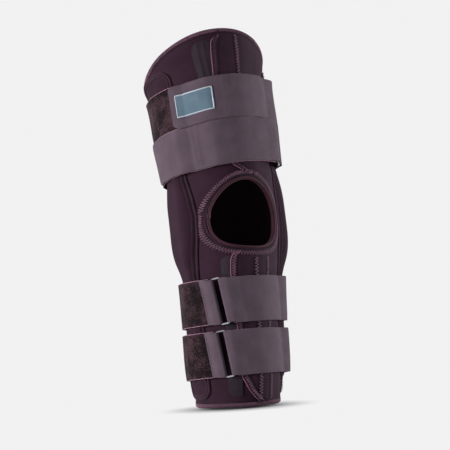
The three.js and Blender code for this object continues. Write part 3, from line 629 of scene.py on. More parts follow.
def build_sleeve():
    u_values = np.arange(-180, 180, COLUMN)
    fixed = np.concatenate(
        [
            [BOTTOM, BOTTOM + 0.5, BOTTOM + 1.2],
            np.linspace(BOTTOM + 2.2, -RECT_S, 60),
            np.linspace(-RECT_S, RECT_S, 41)[1:],
            np.linspace(RECT_S, 150, 38)[1:],
        ]
    )
    rim = np.array([2.2, 1.2, 0.5, 0])
    grid_s = []
    for u in u_values:
        top = top_edge(u)
        upper = np.linspace(150, top - rim[0], 16)[1:]
        grid_s.append(np.concatenate([fixed, upper, top - rim[1:]]))
    S = np.array(grid_s)
    columns, rows = S.shape
    U = np.repeat(u_values[:, None], rows, 1)
    first, last = np.searchsorted(u_values, RECT_U[0]), np.searchsorted(u_values, RECT_U[1])
    low, high = np.argmin(np.abs(fixed + RECT_S)), np.argmin(np.abs(fixed - RECT_S))
    zero = np.argmin(np.abs(fixed))
    index = np.arange(columns * rows).reshape(columns, rows)
    quads = grid_faces(columns, rows, loop=True).reshape(columns, rows - 1, 4)
    keep = np.ones((columns, rows - 1), bool)
    keep[first:last, low:high] = False
    upper_half = np.zeros((columns, rows - 1), bool)
    upper_half[:, zero:] = True
    quads_upper, quads_lower = quads[keep & upper_half], quads[keep & ~upper_half]
    border = [index[last, j] for j in range(zero, high)]
    border += [index[i, high] for i in range(last, first, -1)]
    border += [index[first, j] for j in range(high, low, -1)]
    border += [index[i, low] for i in range(first, last)]
    border += [index[last, j] for j in range(low, zero)]
    border = np.array(border)
    bu, bs = U.ravel()[border], S.ravel()[border]
    centre_u = (RECT_U[0] + RECT_U[1]) / 2
    phi = np.arctan2(bs, (bu - centre_u) * RECT_S / ((RECT_U[1] - RECT_U[0]) / 2))
    hu, hs = on_front(*hole_outline(phi))
    hs[np.abs(bs) < 1e-6] = 0
    share = np.array([0, 0.03, 0.09, 0.18, 0.3, 0.43, 0.57, 0.71, 0.85])
    ring_u = hu[:, None] + (bu - hu)[:, None] * share
    ring_s = hs[:, None] + (bs - hs)[:, None] * share
    count, depth = ring_u.shape
    base = columns * rows
    ring_index = base + np.arange(count * depth).reshape(count, depth)
    ring_index = np.concatenate([ring_index, border[:, None]], 1)
    step = np.roll(ring_index, -1, 0)
    patch = np.stack([ring_index[:, :-1], ring_index[:, 1:], step[:, 1:], step[:, :-1]], -1)
    is_upper = bs + np.roll(bs, -1) > 0
    all_u = np.concatenate([U.ravel(), ring_u.ravel()])
    all_s = np.concatenate([S.ravel(), ring_s.ravel()])
    from_top = top_edge(all_u) - all_s
    from_edge = np.minimum(from_top, all_s - BOTTOM)
    rounding = 1.5 * (1 - np.sqrt(np.clip(1 - (1 - np.clip(from_edge / 2.2, 0, 1)) ** 2, 0, 1)))
    lift = relief(all_u, all_s)
    outer = surface(all_u, all_s, lift - rounding)
    inner = surface(all_u, all_s, lift - THICKNESS + rounding)
    total = len(all_u)
    everything = np.concatenate([outer, inner])
    arc = np.concatenate([(U * 1.15).ravel(), (ring_u * 1.15).ravel()])
    cloth_uv = np.stack([arc, all_s], -1) / 10
    cloth_uv = np.concatenate([cloth_uv, cloth_uv + 0.5])
    top_ring = index[:, rows - 1]
    bottom_ring = index[:, 0]
    for half, body_quads, rim_ring in ((1, quads_upper, top_ring), (-1, quads_lower, bottom_ring)):
        side = is_upper if half > 0 else ~is_upper
        outside = np.concatenate([body_quads, patch[side].reshape(-1, 4)])
        faces = outside.tolist() + (outside[:, ::-1] + total).tolist()
        follow = np.roll(rim_ring, -1)
        for a, b in zip(rim_ring, follow):
            faces.append([a, b, b + total, a + total])
        ends = ring_index[:, 0]
        for k in np.nonzero(side)[0]:
            a, b = ends[k], ends[(k + 1) % count]
            faces.append([a, b, b + total, a + total])
        cut = [index[i, zero] for i in range(columns)]
        inside = set(range(first + 1, last))
        for i in range(columns):
            if i not in inside and (i + 1) % columns not in inside:
                a, b = cut[i], cut[(i + 1) % columns]
                faces.append([a, b, b + total, a + total])
        for k in (k for k in range(count) if abs(bs[k]) < 1e-6):
            for d in range(depth):
                a, b = ring_index[k, d], ring_index[k, d + 1]
                faces.append([a, b, b + total, a + total])
        used = np.unique([v for f in faces for v in f])
        renumber = np.full(2 * total, -1)
        renumber[used] = np.arange(len(used))
        faces = [[renumber[v] for v in f] for f in faces]
        name = "sleeve_upper" if half > 0 else "sleeve_lower"
        piece = make(name, everything[used], faces, NEOPRENE, cloth_uv[used], sharp=60)
        wrap = "thigh_wrap" if half > 0 else "calf_wrap"
        rim_node = "top_binding" if half > 0 else "bottom_binding"
        finish_piece(piece, half, (wrap, "knee_wrap", rim_node))


build_sleeve()

# ---------------------------------------------------------------- opening's bound edge


def build_hole_binding():
    for half in (1, -1):
        phi = np.linspace(0, np.pi, 91) * half
        u, s = on_front(*hole_outline(phi, -1.5))
        ou, os_ = on_front(*hole_outline(phi, 0.5))
        s[[0, -1]] = 0
        middle = surface(u, s, relief(u, s) - THICKNESS / 2)
        radial = surface(ou, os_, relief(u, s) - THICKNESS / 2) - middle
        radial /= np.linalg.norm(radial, axis=1, keepdims=True)
        out = surface(u, s, 5) - surface(u, s, 0)
        out /= np.linalg.norm(out, axis=1, keepdims=True)
        turn = np.linspace(0, 2 * np.pi, 20, endpoint=False)
        power = 2 / 2.8
        a = 1.6 * np.sign(np.cos(turn)) * np.abs(np.cos(turn)) ** power
        b = 2.75 * np.sign(np.sin(turn)) * np.abs(np.sin(turn)) ** power
        ripple = 1 + 0.02 * np.sin(phi * 60)
        points = middle[:, None] + (radial * ripple[:, None])[:, None] * a[None, :, None]
        points = points + out[:, None] * b[None, :, None]
        count = points.shape[1]
        faces = []
        for i in range(len(phi) - 1):
            for k in range(count):
                n = (k + 1) % count
                faces.append([i * count + k, i * count + n, (i + 1) * count + n, (i + 1) * count + k])
        faces += [list(range(count)), list(range((len(phi) - 1) * count, len(phi) * count))]
        run = np.repeat(phi * 38, count) / 10
        uv = np.stack([np.tile(turn, len(phi)) * 0.3, run], -1)
        name = "opening_binding_" + (HALF_TAG[half])
        piece = make(name, points.reshape(-1, 3), faces, TAPE, uv)
        finish_piece(piece, half, ("patella_binding",))


build_hole_binding()

# ---------------------------------------------------------------- pockets
CENTRE_ANGLE = float(stay_angle(0))
POCKET_KNOTS = (-200, -177, -120, -61, -35, -20, 2, 25, 47, 100, 155, 180)
POCKET_HALVES = (24, 24, 21, 19.5, 23.5, 27, 29, 26, 20.5, 21, 25, 26)
SEWN_TOP, SEWN_BOTTOM, SEWN_ARCH = 178, -200, 12


def pocket_half(s, side):
    """Half the pocket's width in degrees: widest over the hinge, and less so on the medial side."""
    half = np.interp(s, POCKET_KNOTS, POCKET_HALVES)
    return half if side < 0 else np.minimum(half, 22.5)


def arch_drop(share):
    return SEWN_ARCH * (1 - np.sqrt(1 - np.clip(np.abs(share), 0, 1) ** 4))


def pocket_skin(u, s):
    """Height of the pocket's cloth: over the metal, and down to the sleeve at its sewn edge."""
    u, s = np.broadcast_arrays(np.asarray(u, float), np.asarray(s, float))
    side = np.where(((u + 180) % 360 - 180) > 0, 1, -1)
    half = np.where(side < 0, pocket_half(s, -1), pocket_half(s, 1))
    aside = apart(u, side * CENTRE_ANGLE)
    side_distance = (half - aside) * np.radians(radius_at(s))
    drop = arch_drop(aside / half)
    end_distance = np.minimum(SEWN_TOP - drop - s, s - SEWN_BOTTOM - drop)
    inside = smooth(np.minimum(side_distance, end_distance), -0.5, 6)
    slope = np.maximum(half * np.radians(radius_at(s)) - 9.5, 8)
    covered = smooth(np.minimum(174 - s, s + 184), -4, 16)
    bulge = lerp(0.9, pocket_height(u, s, 8.5, 11.5, slope, 0.9, (16, 72)), covered)
    return relief(u, s) * (1 - 0.7 * inside) + np.maximum(bulge - 0.4, 0.9) * inside


def build_pockets():
    for label, side in (("lateral", -1), ("medial", 1)):
        for half in (1, -1):
            shares = stops(2, 0.05, 0.04) - 1
            end = SEWN_TOP - arch_drop(shares) if half > 0 else SEWN_BOTTOM + arch_drop(shares)
            rows = stops(1, 0.016, 0.01)
            S = end[:, None] * rows[None, :]
            U = side * CENTRE_ANGLE + shares[:, None] * pocket_half(S, side)
            middle = surface(U, S, pocket_skin(U, S) + 0.5)
            points, faces, uv = slab(middle, 1.1, 1.0, ("left",))
            name = label + "_pocket_" + (HALF_TAG[half])
            piece = make(name, points, faces, NEOPRENE, uv)
            ends = ("thigh_pocket", "knee_pocket") if half > 0 else ("calf_pocket", "knee_pocket")
            finish_piece(piece, half, [label + "_" + e for e in ends])


build_pockets()


def ribbon_points(path_u, path_s, width, lift, height, spacing=5):
    """A grid of points along a path on the leg, this wide, with its middle over the given height function."""
    middle = surface(path_u, path_s)
    tangent = np.gradient(middle, axis=0)
    out = surface(path_u, path_s, 5) - middle
    across = np.cross(out, tangent)
    across /= np.linalg.norm(across, axis=1, keepdims=True)
    step = 0.5
    du = (surface(path_u + step, path_s) - middle) / step
    ds = (surface(path_u, path_s + step) - middle) / step
    columns = []
    for w in np.linspace(-width / 2, width / 2, spacing):
        target = across * w
        guu, gus, gss = (du * du).sum(1), (du * ds).sum(1), (ds * ds).sum(1)
        tu, ts = (target * du).sum(1), (target * ds).sum(1)
        det = guu * gss - gus**2
        u = path_u + (tu * gss - ts * gus) / det
        s = path_s + (ts * guu - tu * gus) / det
        columns.append(surface(u, s, height(u, s) + lift))
    return np.stack(columns, 1)


def pocket_outline(side, half, inset):
    """The pocket's sewn edge above or below the hinge, from its front to its back edge."""
    share = np.sin(np.linspace(-np.pi / 2, np.pi / 2, 49))
    end = SEWN_TOP - inset - arch_drop(share) if half > 0 else SEWN_BOTTOM + inset + arch_drop(share)
    leg = np.linspace(0, end[0], 60)[:-1]
    s = np.concatenate([leg, end, leg[::-1]])
    share = np.concatenate([np.full(59, -1.0), share, np.ones(59)])
    return side * CENTRE_ANGLE + share * (pocket_half(s, side) - np.degrees(inset / 60)), s


def build_pocket_tapes():
    """The lateral pocket's sewn edge shows as a double ridge."""
    for half in (1, -1):
        u, s = pocket_outline(-1, half, 2.2)
        grid = ribbon_points(u, s, 6.2, 1.15, pocket_skin, 13)
        place = np.linspace(-3.1, 3.1, 13)
        crown = 0.9 * (np.exp(-(((place - 1.5) / 0.95) ** 2)) + np.exp(-(((place + 1.5) / 0.95) ** 2)))
        out = surface(u, s, 5) - surface(u, s)
        out /= np.linalg.norm(out, axis=1, keepdims=True)
        grid = grid + out[:, None] * crown[None, :, None]
        points, faces, uv = slab(grid, 1.0, 0.8, ("start", "end"))
        tag = HALF_TAG[half]
        piece = make("lateral_pocket_tape_" + tag, points, faces, SEAM, uv[:, ::-1])
        finish_piece(piece, half)


build_pocket_tapes()

# ---------------------------------------------------------------- closure flaps and hook strips
THIGH_LEFT = np.array(
    [[35.5, 32], [38.7, 19], [44.4, 0.4], [49, -7], [53.5, -12], [62, -15]]
    + [[153, -16.2], [201, -12], [300, -12]]
)
CALF_LEFT = np.array(
    [[-205, 7], [-200, 0], [-191, -8], [-184, -12], [-177, -16], [-168, -17.5]]
    + [[-60, -23.6], [-47, -22.4], [-42, -20.6]]
)
CALF_TOP_LEFT = np.array([[-38.5, -16.5], [-36.5, -9.5], [-35.5, 0]])
FLAP_HEIGHT = 2.9


def flap_left(s, half):
    if half > 0:
        left = np.interp(s, THIGH_LEFT[:, 0], THIGH_LEFT[:, 1])
        return left + 7 * (1 - np.sqrt(1 - np.clip((s - 192) / 9, 0, 1) ** 2))
    table = np.concatenate([CALF_LEFT, CALF_TOP_LEFT])
    return np.interp(s, table[:, 0], table[:, 1])


def flap_skin(u, s, half):
    """Height of the flap's outer face: full at its free edge, sinking into the sleeve medially."""
    left = flap_left(s, half)
    inside = (u - left) * np.radians(radius_at(s))
    full = 1 - smooth(u, 14, 36)
    if half > 0:
        ends = smooth(top_edge(u) - s, 1.5, 12) * smooth(s, 36, 46)
        ends = np.maximum(ends, smooth(top_edge(u) - s, 1.5, 5) * (1 - smooth(u, -8, 0)) * smooth(s, 36, 46))
    else:
        ends = smooth(s, BOTTOM + 1, BOTTOM + 8)
    groove = 0.75 * np.exp(-(((inside - 7.6) / 1.1) ** 2))
    return relief(u, s) + 0.3 + (FLAP_HEIGHT - groove) * full * ends


def under_opening():
    """The lower side of the opening's bound edge: its angles and its distances along the leg."""
    u, s = on_front(*hole_outline(np.linspace(-2.6, -0.5, 60), 1.6))
    return u, s


def build_flap(name, half, low, high, replaced):
    columns = np.concatenate([[0, 0.004, 0.014, 0.03], np.linspace(0.05, 1, 34)])
    rows = stops(1, 0.012, 0.008)
    A, B = np.meshgrid(columns, rows, indexing="ij")
    S = lerp(low, high, B)
    left = flap_left(S, half)
    U = lerp(left, 40, A)
    if half > 0:
        S = low + (top_edge(U) - 2.5 - low) * B
    else:
        front_top = np.interp(U, *under_opening())
        S = low + (front_top - low) * B
        U = lerp(flap_left(S, half), 40, A)
    outer_height = flap_skin(U, S, half)
    inner_height = np.minimum(relief(U, S) + 0.1, outer_height - 0.12)
    inside = (U - flap_left(S, half)) * np.radians(radius_at(S))
    rounding = np.clip(inside / 1.6, 0, 1)
    share = 0.3 + 0.7 * np.sqrt(1 - (1 - rounding) ** 2)
    outer = surface(U, S, lerp(inner_height, outer_height, share))
    inner = surface(U, S, inner_height)
    points = np.concatenate([outer.reshape(-1, 3), inner.reshape(-1, 3)])
    uv = np.stack([U * 1.15, S], -1).reshape(-1, 2) / 10
    piece = make(name, points, shell_faces(*U.shape), NEOPRENE, np.concatenate([uv, uv + 0.4]))
    finish_piece(piece, half, (replaced,))


build_flap("thigh_closure_flap", 1, 38.5, 204, "thigh_flap")
build_flap("calf_closure_flap", -1, -208, -36, "calf_flap")


def flap_edge(half, s, inset):
    u = flap_left(s, half)
    return u + np.degrees(inset / radius_at(s))


def build_piping():
    for name, half, low, high in (("thigh", 1, 39, 203), ("calf", -1, -205, -37)):
        s = np.linspace(low, high, 160)
        u = flap_edge(half, s, 0.1)
        height = lerp(relief(u, s), flap_skin(u, s, half), 0.62)
        line = surface(u, s, height)
        piece = thread(name + "_flap_piping", [line], PIPING, 0.6, 8)
        finish_piece(piece, half)


build_piping()


def build_strips():
    for name, half, first, last, low in (("thigh", 1, -31, -12.5, 58), ("calf", -1, -34.5, -16, -198)):
        middle_s = 130 if half > 0 else -130
        length = np.radians(last - first) * radius_at(middle_s)
        across = stops(length, 1.4, 0.7) / length
        rows = stops(1, 0.012, 0.006)
        A, B = np.meshgrid(across, rows, indexing="ij")
        U = lerp(first, last, A)
        high = top_edge(U) - 13 if half > 0 else np.full(U.shape, -42.0)
        corner = 8.0
        from_left = (U - first) * np.radians(radius_at(middle_s))
        cut = corner * (1 - np.sqrt(1 - np.clip(1 - from_left / corner, 0, 1) ** 2))
        S = lerp(low + cut, high - cut, B)
        ridges = 0.0
        if half > 0:
            for at in (0.3, 0.62):
                ridges = ridges + 0.55 * np.exp(-(((A - at) * length / 1.1) ** 2))
        middle = surface(U, S, relief(U, S) + 0.75 + ridges)
        points, faces, uv = slab(middle, 1.0, 0.7)
        piece = make(name + "_hook_panel", points, faces, HOOK, uv)
        finish_piece(piece, half, (name + "_hook_strip",))


build_strips()

# ---------------------------------------------------------------- straps


def across_positions():
    return stops(WEBBING_WIDTH, 5.0, 0.8) - WEBBING_WIDTH / 2


def folded(strap, toward, end, height, corner=0.0, ripple=None):
    """Middle points of a strap that comes from under a ring's bar, folds over it and lies on the leg."""
    w = across_positions()
    columns = []
    for d in (BAR_OFFSET + 2.8, BAR_OFFSET + 1.4):
        columns.append(strap.on_ring(toward * d, w, -FOLD_MIDDLE))
    for turn in np.linspace(0, np.pi, 13):
        t = toward * (BAR_OFFSET - FOLD_MIDDLE * math.sin(turn))
        columns.append(strap.on_ring(t, w, -FOLD_MIDDLE * math.cos(turn)))
    start = strap.ring + toward * strap.degrees(BAR_OFFSET)
    length = abs(end - start) / strap.degrees(1)
    for d in stops(length, 2.2, 0.8)[1:]:
        u = start + toward * strap.degrees(d)
        from_end = length - d
        extent = WEBBING_WIDTH / 2
        if corner and from_end < corner:
            extent -= corner - math.sqrt(max(corner**2 - (corner - from_end) ** 2, 0))
        across = w * extent / (WEBBING_WIDTH / 2)
        lift = height(u) + STRAP_THICKNESS / 2
        if ripple is not None:
            lift = lift + ripple(u, across)
        lying = strap.on_leg(u, across, lift)
        straight = strap.on_ring(toward * (BAR_OFFSET + d), across, FOLD_MIDDLE)
        columns.append(lerp(straight, lying, smooth(d, 0.5, 12)))
    return np.stack(columns)


CREASES = {"upper_thigh": (-9, -6, -1), "lower_thigh": (-47, -44.5, -41), "upper_calf": (), "lower_calf": ()}


def sag(strap, amount):
    """Soft waves and a few creases in a strap's tail, and a little cupping across its width."""

    def value(u, across):
        wave = math.sin(math.radians(u) * 5 + strap.low) + 0.6 * math.sin(math.radians(u) * 11 + 1)
        ends = float(smooth(abs(u - strap.bar(strap.side)), 5, 25))
        cup = -0.35 * (np.abs(across) / 25.4) ** 4
        crease = sum(0.75 * np.exp(-(((u - at - 0.02 * across) / 0.9) ** 2)) for at in CREASES[strap.name])
        return ends * (amount * wave * (0.6 + 0.4 * across / 25.4)) + ends * (cup + crease)

    return value


def build_strap(strap):
    name = strap.name
    gap = strap.degrees(BAR_OFFSET + 3.0)
    angles = np.arange(strap.ring + gap, strap.ring + 360 - gap, 2.0)
    angles = np.r_[angles, strap.ring + 360 - gap]
    w = across_positions()
    middle = np.stack([strap.on_leg(u, w, strap.base(u) + STRAP_THICKNESS / 2) for u in angles])
    points, faces, uv = slab(middle, STRAP_THICKNESS, 0.7)
    piece = make(name + "_band", points, faces, PILE, uv)
    finish_piece(piece, strap.body, (name + "_strap_band",))
    edges = []
    for side in (-1, 1):
        at = side * (WEBBING_WIDTH / 2 - 0.25)
        lift = STRAP_THICKNESS - 0.15
        edges.append(np.stack([strap.on_leg(u, np.float64(at), strap.base(u) + lift) for u in angles]))
    piece = thread(name + "_band_selvedge", edges, SELVEDGE, 0.42, 6)
    finish_piece(piece, strap.body)

    back = -strap.side
    height = strap.over(back, STRAP_THICKNESS + 0.15, KEEPER_ANGLE - 1)
    grid = folded(strap, back, strap.bar(back) + back * KEEPER_ANGLE, height)
    points, faces, uv = slab(grid, STRAP_THICKNESS, 0.7)
    piece = make(name + "_keeper_fold", points, faces, WEBBING, uv)
    finish_piece(piece, strap.body, (name + "_keeper",))

    grid = folded(strap, strap.side, strap.end, strap.tail_height, 6, sag(strap, 0.22))
    points, faces, uv = slab(grid, STRAP_THICKNESS, 0.8)
    piece = make(name + "_tail_strap", points, faces, WEBBING, uv)
    link, tail = name + "_ring_link", name + "_tail"
    if strap.peel is None:
        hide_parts(name + "_strap_tail")
        bar = strap.on_ring(strap.side * BAR_OFFSET, 0.0, 0.0)
        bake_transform(piece)
    else:
        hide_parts(name + "_strap_front", name + "_strap_tail")
        ends = [strap.on_leg(strap.peel + d, np.float64(0), strap.tail_height(strap.peel)) for d in (7, -9)]
        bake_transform(piece)

    first, last = strap.end - strap.side * 1.0, strap.end - strap.side * HOOK_ANGLE
    angles = np.linspace(first, last, 24)
    w = stops(WEBBING_WIDTH - 5, 5, 0.5) - (WEBBING_WIDTH - 5) / 2
    heights = [strap.base(u) + STRAP_THICKNESS + LAYER_GAP + 0.35 for u in angles]
    middle = np.stack([strap.on_leg(u, w, h) for u, h in zip(angles, heights)])
    points, faces, uv = slab(middle, 0.8, 0.5)
    piece = make(name + "_hook_pad", points, faces, HOOK, uv)
    finish_piece(piece, tail, (name + "_hook_tab",))

    half_width, half_height = (RING_WIDTH - WIRE) / 2, (RING_INSIDE + WIRE) / 2
    corner, outline = RING_CORNER, []
    for cx, cy, start in ((1, 1, 0), (-1, 1, 90), (-1, -1, 180), (1, -1, 270)):
        for turn in np.radians(np.linspace(start, start + 90, 9)):
            x = cx * (half_width - corner) + corner * math.cos(turn)
            outline.append((x, cy * (half_height - corner) + corner * math.sin(turn)))
    outline = np.array(outline)
    dense = []
    for a, b in zip(outline, np.roll(outline, -1, 0)):
        count = max(1, int(np.linalg.norm(b - a) / 4))
        dense += [lerp(a, b, k / count) for k in range(count)]
    dense = np.array(dense)
    line = strap.on_ring(dense[:, 0], dense[:, 1], 0.0)
    points, faces = tube(line, WIRE / 2, 14, True)
    uv = np.zeros((len(points), 2))
    piece = make(name + "_wire_ring", points, faces, NICKEL, uv)
    finish_piece(piece, link, (name + "_ring",))


for one in STRAPS:
    build_strap(one)

# ---------------------------------------------------------------- plain label


def build_label():
    strap = STRAPS[0]
    ripple = sag(strap, 0.22)
    first, last, half_height = -54.5, -20, 12.8

    def place(u, across, lift):
        return strap.on_leg(u, across, strap.tail_height(u) + STRAP_THICKNESS + lift + ripple(u, across))

    length = abs(last - first) / strap.degrees(1)
    angles = first + (last - first) * stops(length, 2, 0.5) / length
    w = stops(2 * half_height, 2, 0.5) - half_height
    points, faces, uv = slab(np.stack([place(u, w, 0.35) for u in angles]), 0.5, 0.4)
    piece = make("label_patch", points, faces, PATCH, uv)
    finish_piece(piece, "upper_thigh_tail", ("plain_label",))
    low, high = -half_height, half_height
    corners = np.array([(first, low), (last, low), (last, high), (first, high)])
    loop = []
    for a, b in zip(corners, np.roll(corners, -1, 0)):
        loop += [place(*lerp(a, b, t), 0.5) for t in np.linspace(0, 1, 30, endpoint=False)]
    piece = thread("label_border", [np.array(loop)], PATCH_BORDER, 0.8, 8, closed=True)
    finish_piece(piece, "upper_thigh_tail")


build_label()

# ---------------------------------------------------------------- threads


def walk(u, s, pitch):
    """Even steps of this many millimetres along a line on the leg."""
    points = surface(u, s)
    run = np.r_[0, np.cumsum(np.linalg.norm(np.diff(points, axis=0), axis=1))]
    count = max(2, int(round(run[-1] / pitch)) + 1)
    at = np.linspace(0, run[-1], count)
    return np.interp(at, run, u), np.interp(at, run, s)


def overlock(u, s, inward, near, far, height, pitch=2.6, wrap=0.0):
    """Thread that goes to and fro between two insets from an edge. inward is (round, along) the leg,
    and wrap takes it over the edge."""
    u, s = walk(u, s, pitch / 2)
    line = []
    for k in range(len(u) - 1):
        inset = (near, far) if k % 2 else (far, near)
        for t in np.linspace(0, 1, 5)[:-1]:
            d = lerp(inset[0], inset[1], t)
            uu = lerp(u[k], u[k + 1], t)
            ss = lerp(s[k], s[k + 1], t)
            radius = float(radius_at(ss))
            pu = uu + math.degrees(d / radius) * inward[0]
            ps = ss + d * inward[1]
            h = float(height(pu, ps)) + 0.12 + 0.3 * math.sin(math.pi * t)
            if wrap and d < 1.2:
                h -= wrap * (1 - d / 1.2)
            line.append(surface(pu, ps, h))
    return np.array(line)


def bed(name, u, s, width, height, body):
    """The dark strip of dense thread under an overlocked edge."""
    grid = ribbon_points(u, s, width, 0.12, height, 7)
    points, faces, uv = slab(grid, 0.5, 0.5)
    finish_piece(make(name, points, faces, BED, uv), body)


def over_all(half):
    """Height of what lies uppermost in front: the sleeve or the flap."""

    def value(u, s):
        flap = np.where((flap_left(s, half) < u) & (u < 40), flap_skin(u, s, half), -9)
        return np.maximum(relief(u, s), flap)

    return value


def over_flap(half, lift=0.0):
    """Height of the flap's outer face, and this much more."""

    def value(u, s):
        return flap_skin(u, s, half) + lift

    return value


def build_beds():
    turn = np.arange(-179.5, 179.6, 1.0)
    bed("top_edge_bed", turn, top_edge(turn) - 4.2, 5.6, over_all(1), "thigh")
    bed("bottom_edge_bed", turn, np.full(turn.shape, BOTTOM + 4.0), 5.0, over_all(-1), "calf")
    for half, tag in ((1, "upper"), (-1, "lower")):
        phi = np.linspace(0.0, np.pi, 120) * half
        u, s = on_front(*hole_outline(phi, 4.2))
        s[[0, -1]] = 0
        bed("opening_bed_" + tag, u, s, 8.0, over_all(half), half)
    for name, half, low, high in (("thigh", 1, 46, 199), ("calf", -1, -200, -41)):
        s = np.linspace(low, high, 140)
        bed(name + "_flap_bed", flap_edge(half, s, 4.2), s, 5.4, over_flap(half), half)


build_beds()


def build_rim_threads():
    u = np.arange(-180, 180.1, 1.0)
    rims = (("top", 1, top_edge(u), 5.6), ("bottom", -1, np.full(u.shape, float(BOTTOM)), 5.2))
    for name, half, rim, far in rims:
        line = overlock(u, rim, (0, -half), -0.2, far, over_all(half), 2.6, 1.6)
        piece = thread(name + "_edge_overlock", [line], THREAD, 0.36)
        finish_piece(piece, "thigh" if half > 0 else "calf")


build_rim_threads()


def build_hole_threads():
    near, far, pitch = 2.6, 7.6, 2.4
    for half, tag in ((1, "upper"), (-1, "lower")):
        height = over_all(half)
        steps = int(round(np.pi * 42 / (pitch / 2)))
        at = np.linspace(0.01, np.pi - 0.01, steps) * half
        line = []
        for k in range(len(at) - 1):
            inset = (near, far) if k % 2 else (far, near)
            for t in np.linspace(0, 1, 5)[:-1]:
                phi = np.array(lerp(at[k], at[k + 1], t))
                u, s = on_front(*hole_outline(phi, lerp(inset[0], inset[1], t)))
                line.append(surface(u, s, height(u, s) + 0.22 + 0.3 * math.sin(math.pi * t)))
        piece = thread("opening_overlock_" + tag, [np.array(line)], THREAD, 0.3)
        finish_piece(piece, half)


build_hole_threads()


def build_flap_threads():
    for name, half, low, high in (("thigh", 1, 41, 200), ("calf", -1, -203, -38)):
        s = np.linspace(low, high, 300)
        line = overlock(flap_left(s, half), s, (1, 0), 1.6, 6.2, over_flap(half), 3.0)
        piece = thread(name + "_flap_overlock", [line], DARK_THREAD if half > 0 else THREAD, 0.34)
        finish_piece(piece, half)
    columns = (
        ("thigh_zigzag", 1, 10.8, 60, 203),
        ("calf_zigzag_front", -1, 7, -203, -44),
        ("calf_zigzag_side", -1, 24, -203, -44),
    )
    for name, half, at, low, high in columns:
        s = np.linspace(low, high, 200)
        u = np.full(s.shape, float(at))
        bed(name + "_bed", u, s, 5.6, over_flap(half), half)
        line = overlock(u, s, (1, 0), -2.2, 2.2, over_flap(half, 0.5), 3.6)
        piece = thread(name, [line], THREAD, 0.34)
        finish_piece(piece, half)


build_flap_threads()


def build_pocket_threads():
    for label, side in (("lateral", -1), ("medial", 1)):
        for half in (1, -1):
            lines = []
            for inset in (0.7, 3.7):
                u, s = pocket_outline(side, half, inset)
                u, s = walk(u, s, 3.2)
                for k in range(len(u) - 1):
                    t = np.linspace(0.06, 0.84, 5)
                    uu, ss = lerp(u[k], u[k + 1], t), lerp(s[k], s[k + 1], t)
                    h = pocket_skin(uu, ss) + 1.72 + 0.22 * np.sin(np.pi * np.linspace(0, 1, 5)) - 0.1
                    lines.append(surface(uu, ss, h))
            tag = label + "_" + (HALF_TAG[half])
            piece = thread("pocket_stitches_" + tag, lines, THREAD, 0.24)
            finish_piece(piece, half)


build_pocket_threads()


def build_strap_threads():
    """Rows of stitches that hold each ring's keeper to its band."""
    for strap in STRAPS:
        back = -strap.side
        height = strap.over(back, STRAP_THICKNESS + 0.15, KEEPER_ANGLE - 1)
        end = strap.bar(back) + back * KEEPER_ANGLE
        lines = []
        for at in (end - back * strap.degrees(2.2), end - back * strap.degrees(6.0)):
            for w in np.arange(-23, 22.5, 3.1):
                across = w + np.linspace(0, 2.5, 5)
                lift = height(at) + STRAP_THICKNESS + 0.25 * np.sin(np.pi * np.linspace(0, 1, 5)) - 0.02
                lines.append(np.stack([strap.on_leg(at, a, h) for a, h in zip(across, lift)]))
        piece = thread(strap.name + "_keeper_stitches", lines, DARK_THREAD, 0.25)
        finish_piece(piece, strap.body)


build_strap_threads()

# ---------------------------------------------------------------- hardware that stays
for side_label in ("lateral", "medial"):
    for part, look in (
        ("thigh_stay", ALLOY),
        ("calf_stay", ALLOY),
        ("hinge_inner_plate", STEEL),
        ("hinge_outer_plate", STEEL),
        ("upper_rivet", STEEL),
        ("lower_rivet", STEEL),
    ):
        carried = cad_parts[side_label + "_" + part]
        for k in range(len(carried.material_slots)):
            carried.material_slots[k].material = look

# ---------------------------------------------------------------- floor, light and camera
AZIMUTH, ELEVATION, ROLL, DISTANCE = -22, -2.5, 3.7, 2.0
AIM = Vector((-0.0031, 0.0013, -0.0027))
LENS = 138.7


BACKDROP = 0.885


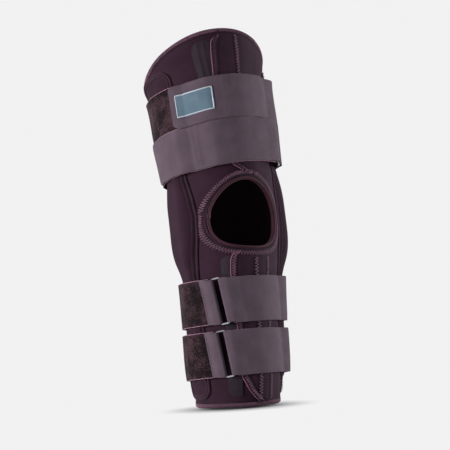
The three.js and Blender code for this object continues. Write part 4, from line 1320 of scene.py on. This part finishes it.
def floor_material():
    """Pale floor that turns into the even backdrop away from the brace."""
    material = bpy.data.materials.new("floor")
    material.use_nodes = True
    tree = material.node_tree
    shader = tree.nodes["Principled BSDF"]
    shader.inputs["Roughness"].default_value = 0.9
    shader.inputs["Specular IOR Level"].default_value = 0.1
    place = node(tree, "ShaderNodeTexCoord").outputs["Object"]
    soft = node(tree, "ShaderNodeTexNoise", {"Vector": place, "Scale": 3.0, "Detail": 2.0})
    ramp = between(tree, soft.outputs["Fac"], (0.27, 0.27, 0.27, 1), (0.28, 0.28, 0.28, 1))
    tree.links.new(ramp.outputs["Color"], shader.inputs["Base Color"])
    away = node(tree, "ShaderNodeVectorMath", {0: place}, operation="LENGTH").outputs["Value"]
    values = {"Value": away, "From Min": 0.03, "From Max": 0.1}
    fade = node(tree, "ShaderNodeMapRange", values, interpolation_type="SMOOTHSTEP")
    even = node(tree, "ShaderNodeEmission", {"Color": (BACKDROP, BACKDROP, BACKDROP, 1), "Strength": 1.0})
    values = {"Fac": fade.outputs["Result"], 1: shader.outputs["BSDF"], 2: even.outputs[0]}
    mixed = node(tree, "ShaderNodeMixShader", values)
    tree.links.new(mixed.outputs[0], tree.nodes["Material Output"].inputs["Surface"])
    return material


def build_stage():
    bpy.ops.mesh.primitive_plane_add(size=12, location=(0, 0, (BOTTOM - 2.4) * MM))
    floor = bpy.context.object
    floor.name = "floor"
    floor.data.materials.append(floor_material())
    world = bpy.data.worlds.new("studio")
    bpy.context.scene.world = world
    world.use_nodes = True
    world.node_tree.nodes["Background"].inputs["Color"].default_value = (BACKDROP, BACKDROP, BACKDROP, 1)
    world.node_tree.nodes["Background"].inputs["Strength"].default_value = 1.0
    bpy.context.scene.view_settings.view_transform = "Standard"
    lights = (
        ("left", (-1.8, -0.25, 0.0), 0.6, 112),
        ("right", (1.8, -0.55, 0.0), 0.6, 88),
        ("back", (0.3, 1.9, 0.8), 1.4, 10),
    )
    for name, place, size, power in lights:
        data = bpy.data.lights.new(name, "AREA")
        data.size = size
        data.energy = power
        lamp = bpy.data.objects.new(name, data)
        lamp.location = place
        lamp.rotation_euler = (Vector((0, 0, 0)) - Vector(place)).to_track_quat("-Z", "Y").to_euler()
        bpy.context.scene.collection.objects.link(lamp)


def build_camera():
    data = bpy.data.cameras.new("camera")
    data.lens = LENS
    data.sensor_width = 36
    camera = bpy.data.objects.new("camera", data)
    a, e = math.radians(AZIMUTH), math.radians(ELEVATION)
    back = Vector((math.sin(a) * math.cos(e), -math.cos(a) * math.cos(e), math.sin(e)))
    camera.location = AIM + back * DISTANCE
    look = (-back).to_track_quat("-Z", "Y").to_matrix()
    camera.rotation_euler = (look @ Matrix.Rotation(math.radians(-ROLL), 3, "Z")).to_euler()
    bpy.context.scene.collection.objects.link(camera)
    bpy.context.scene.camera = camera


build_stage()
build_camera()
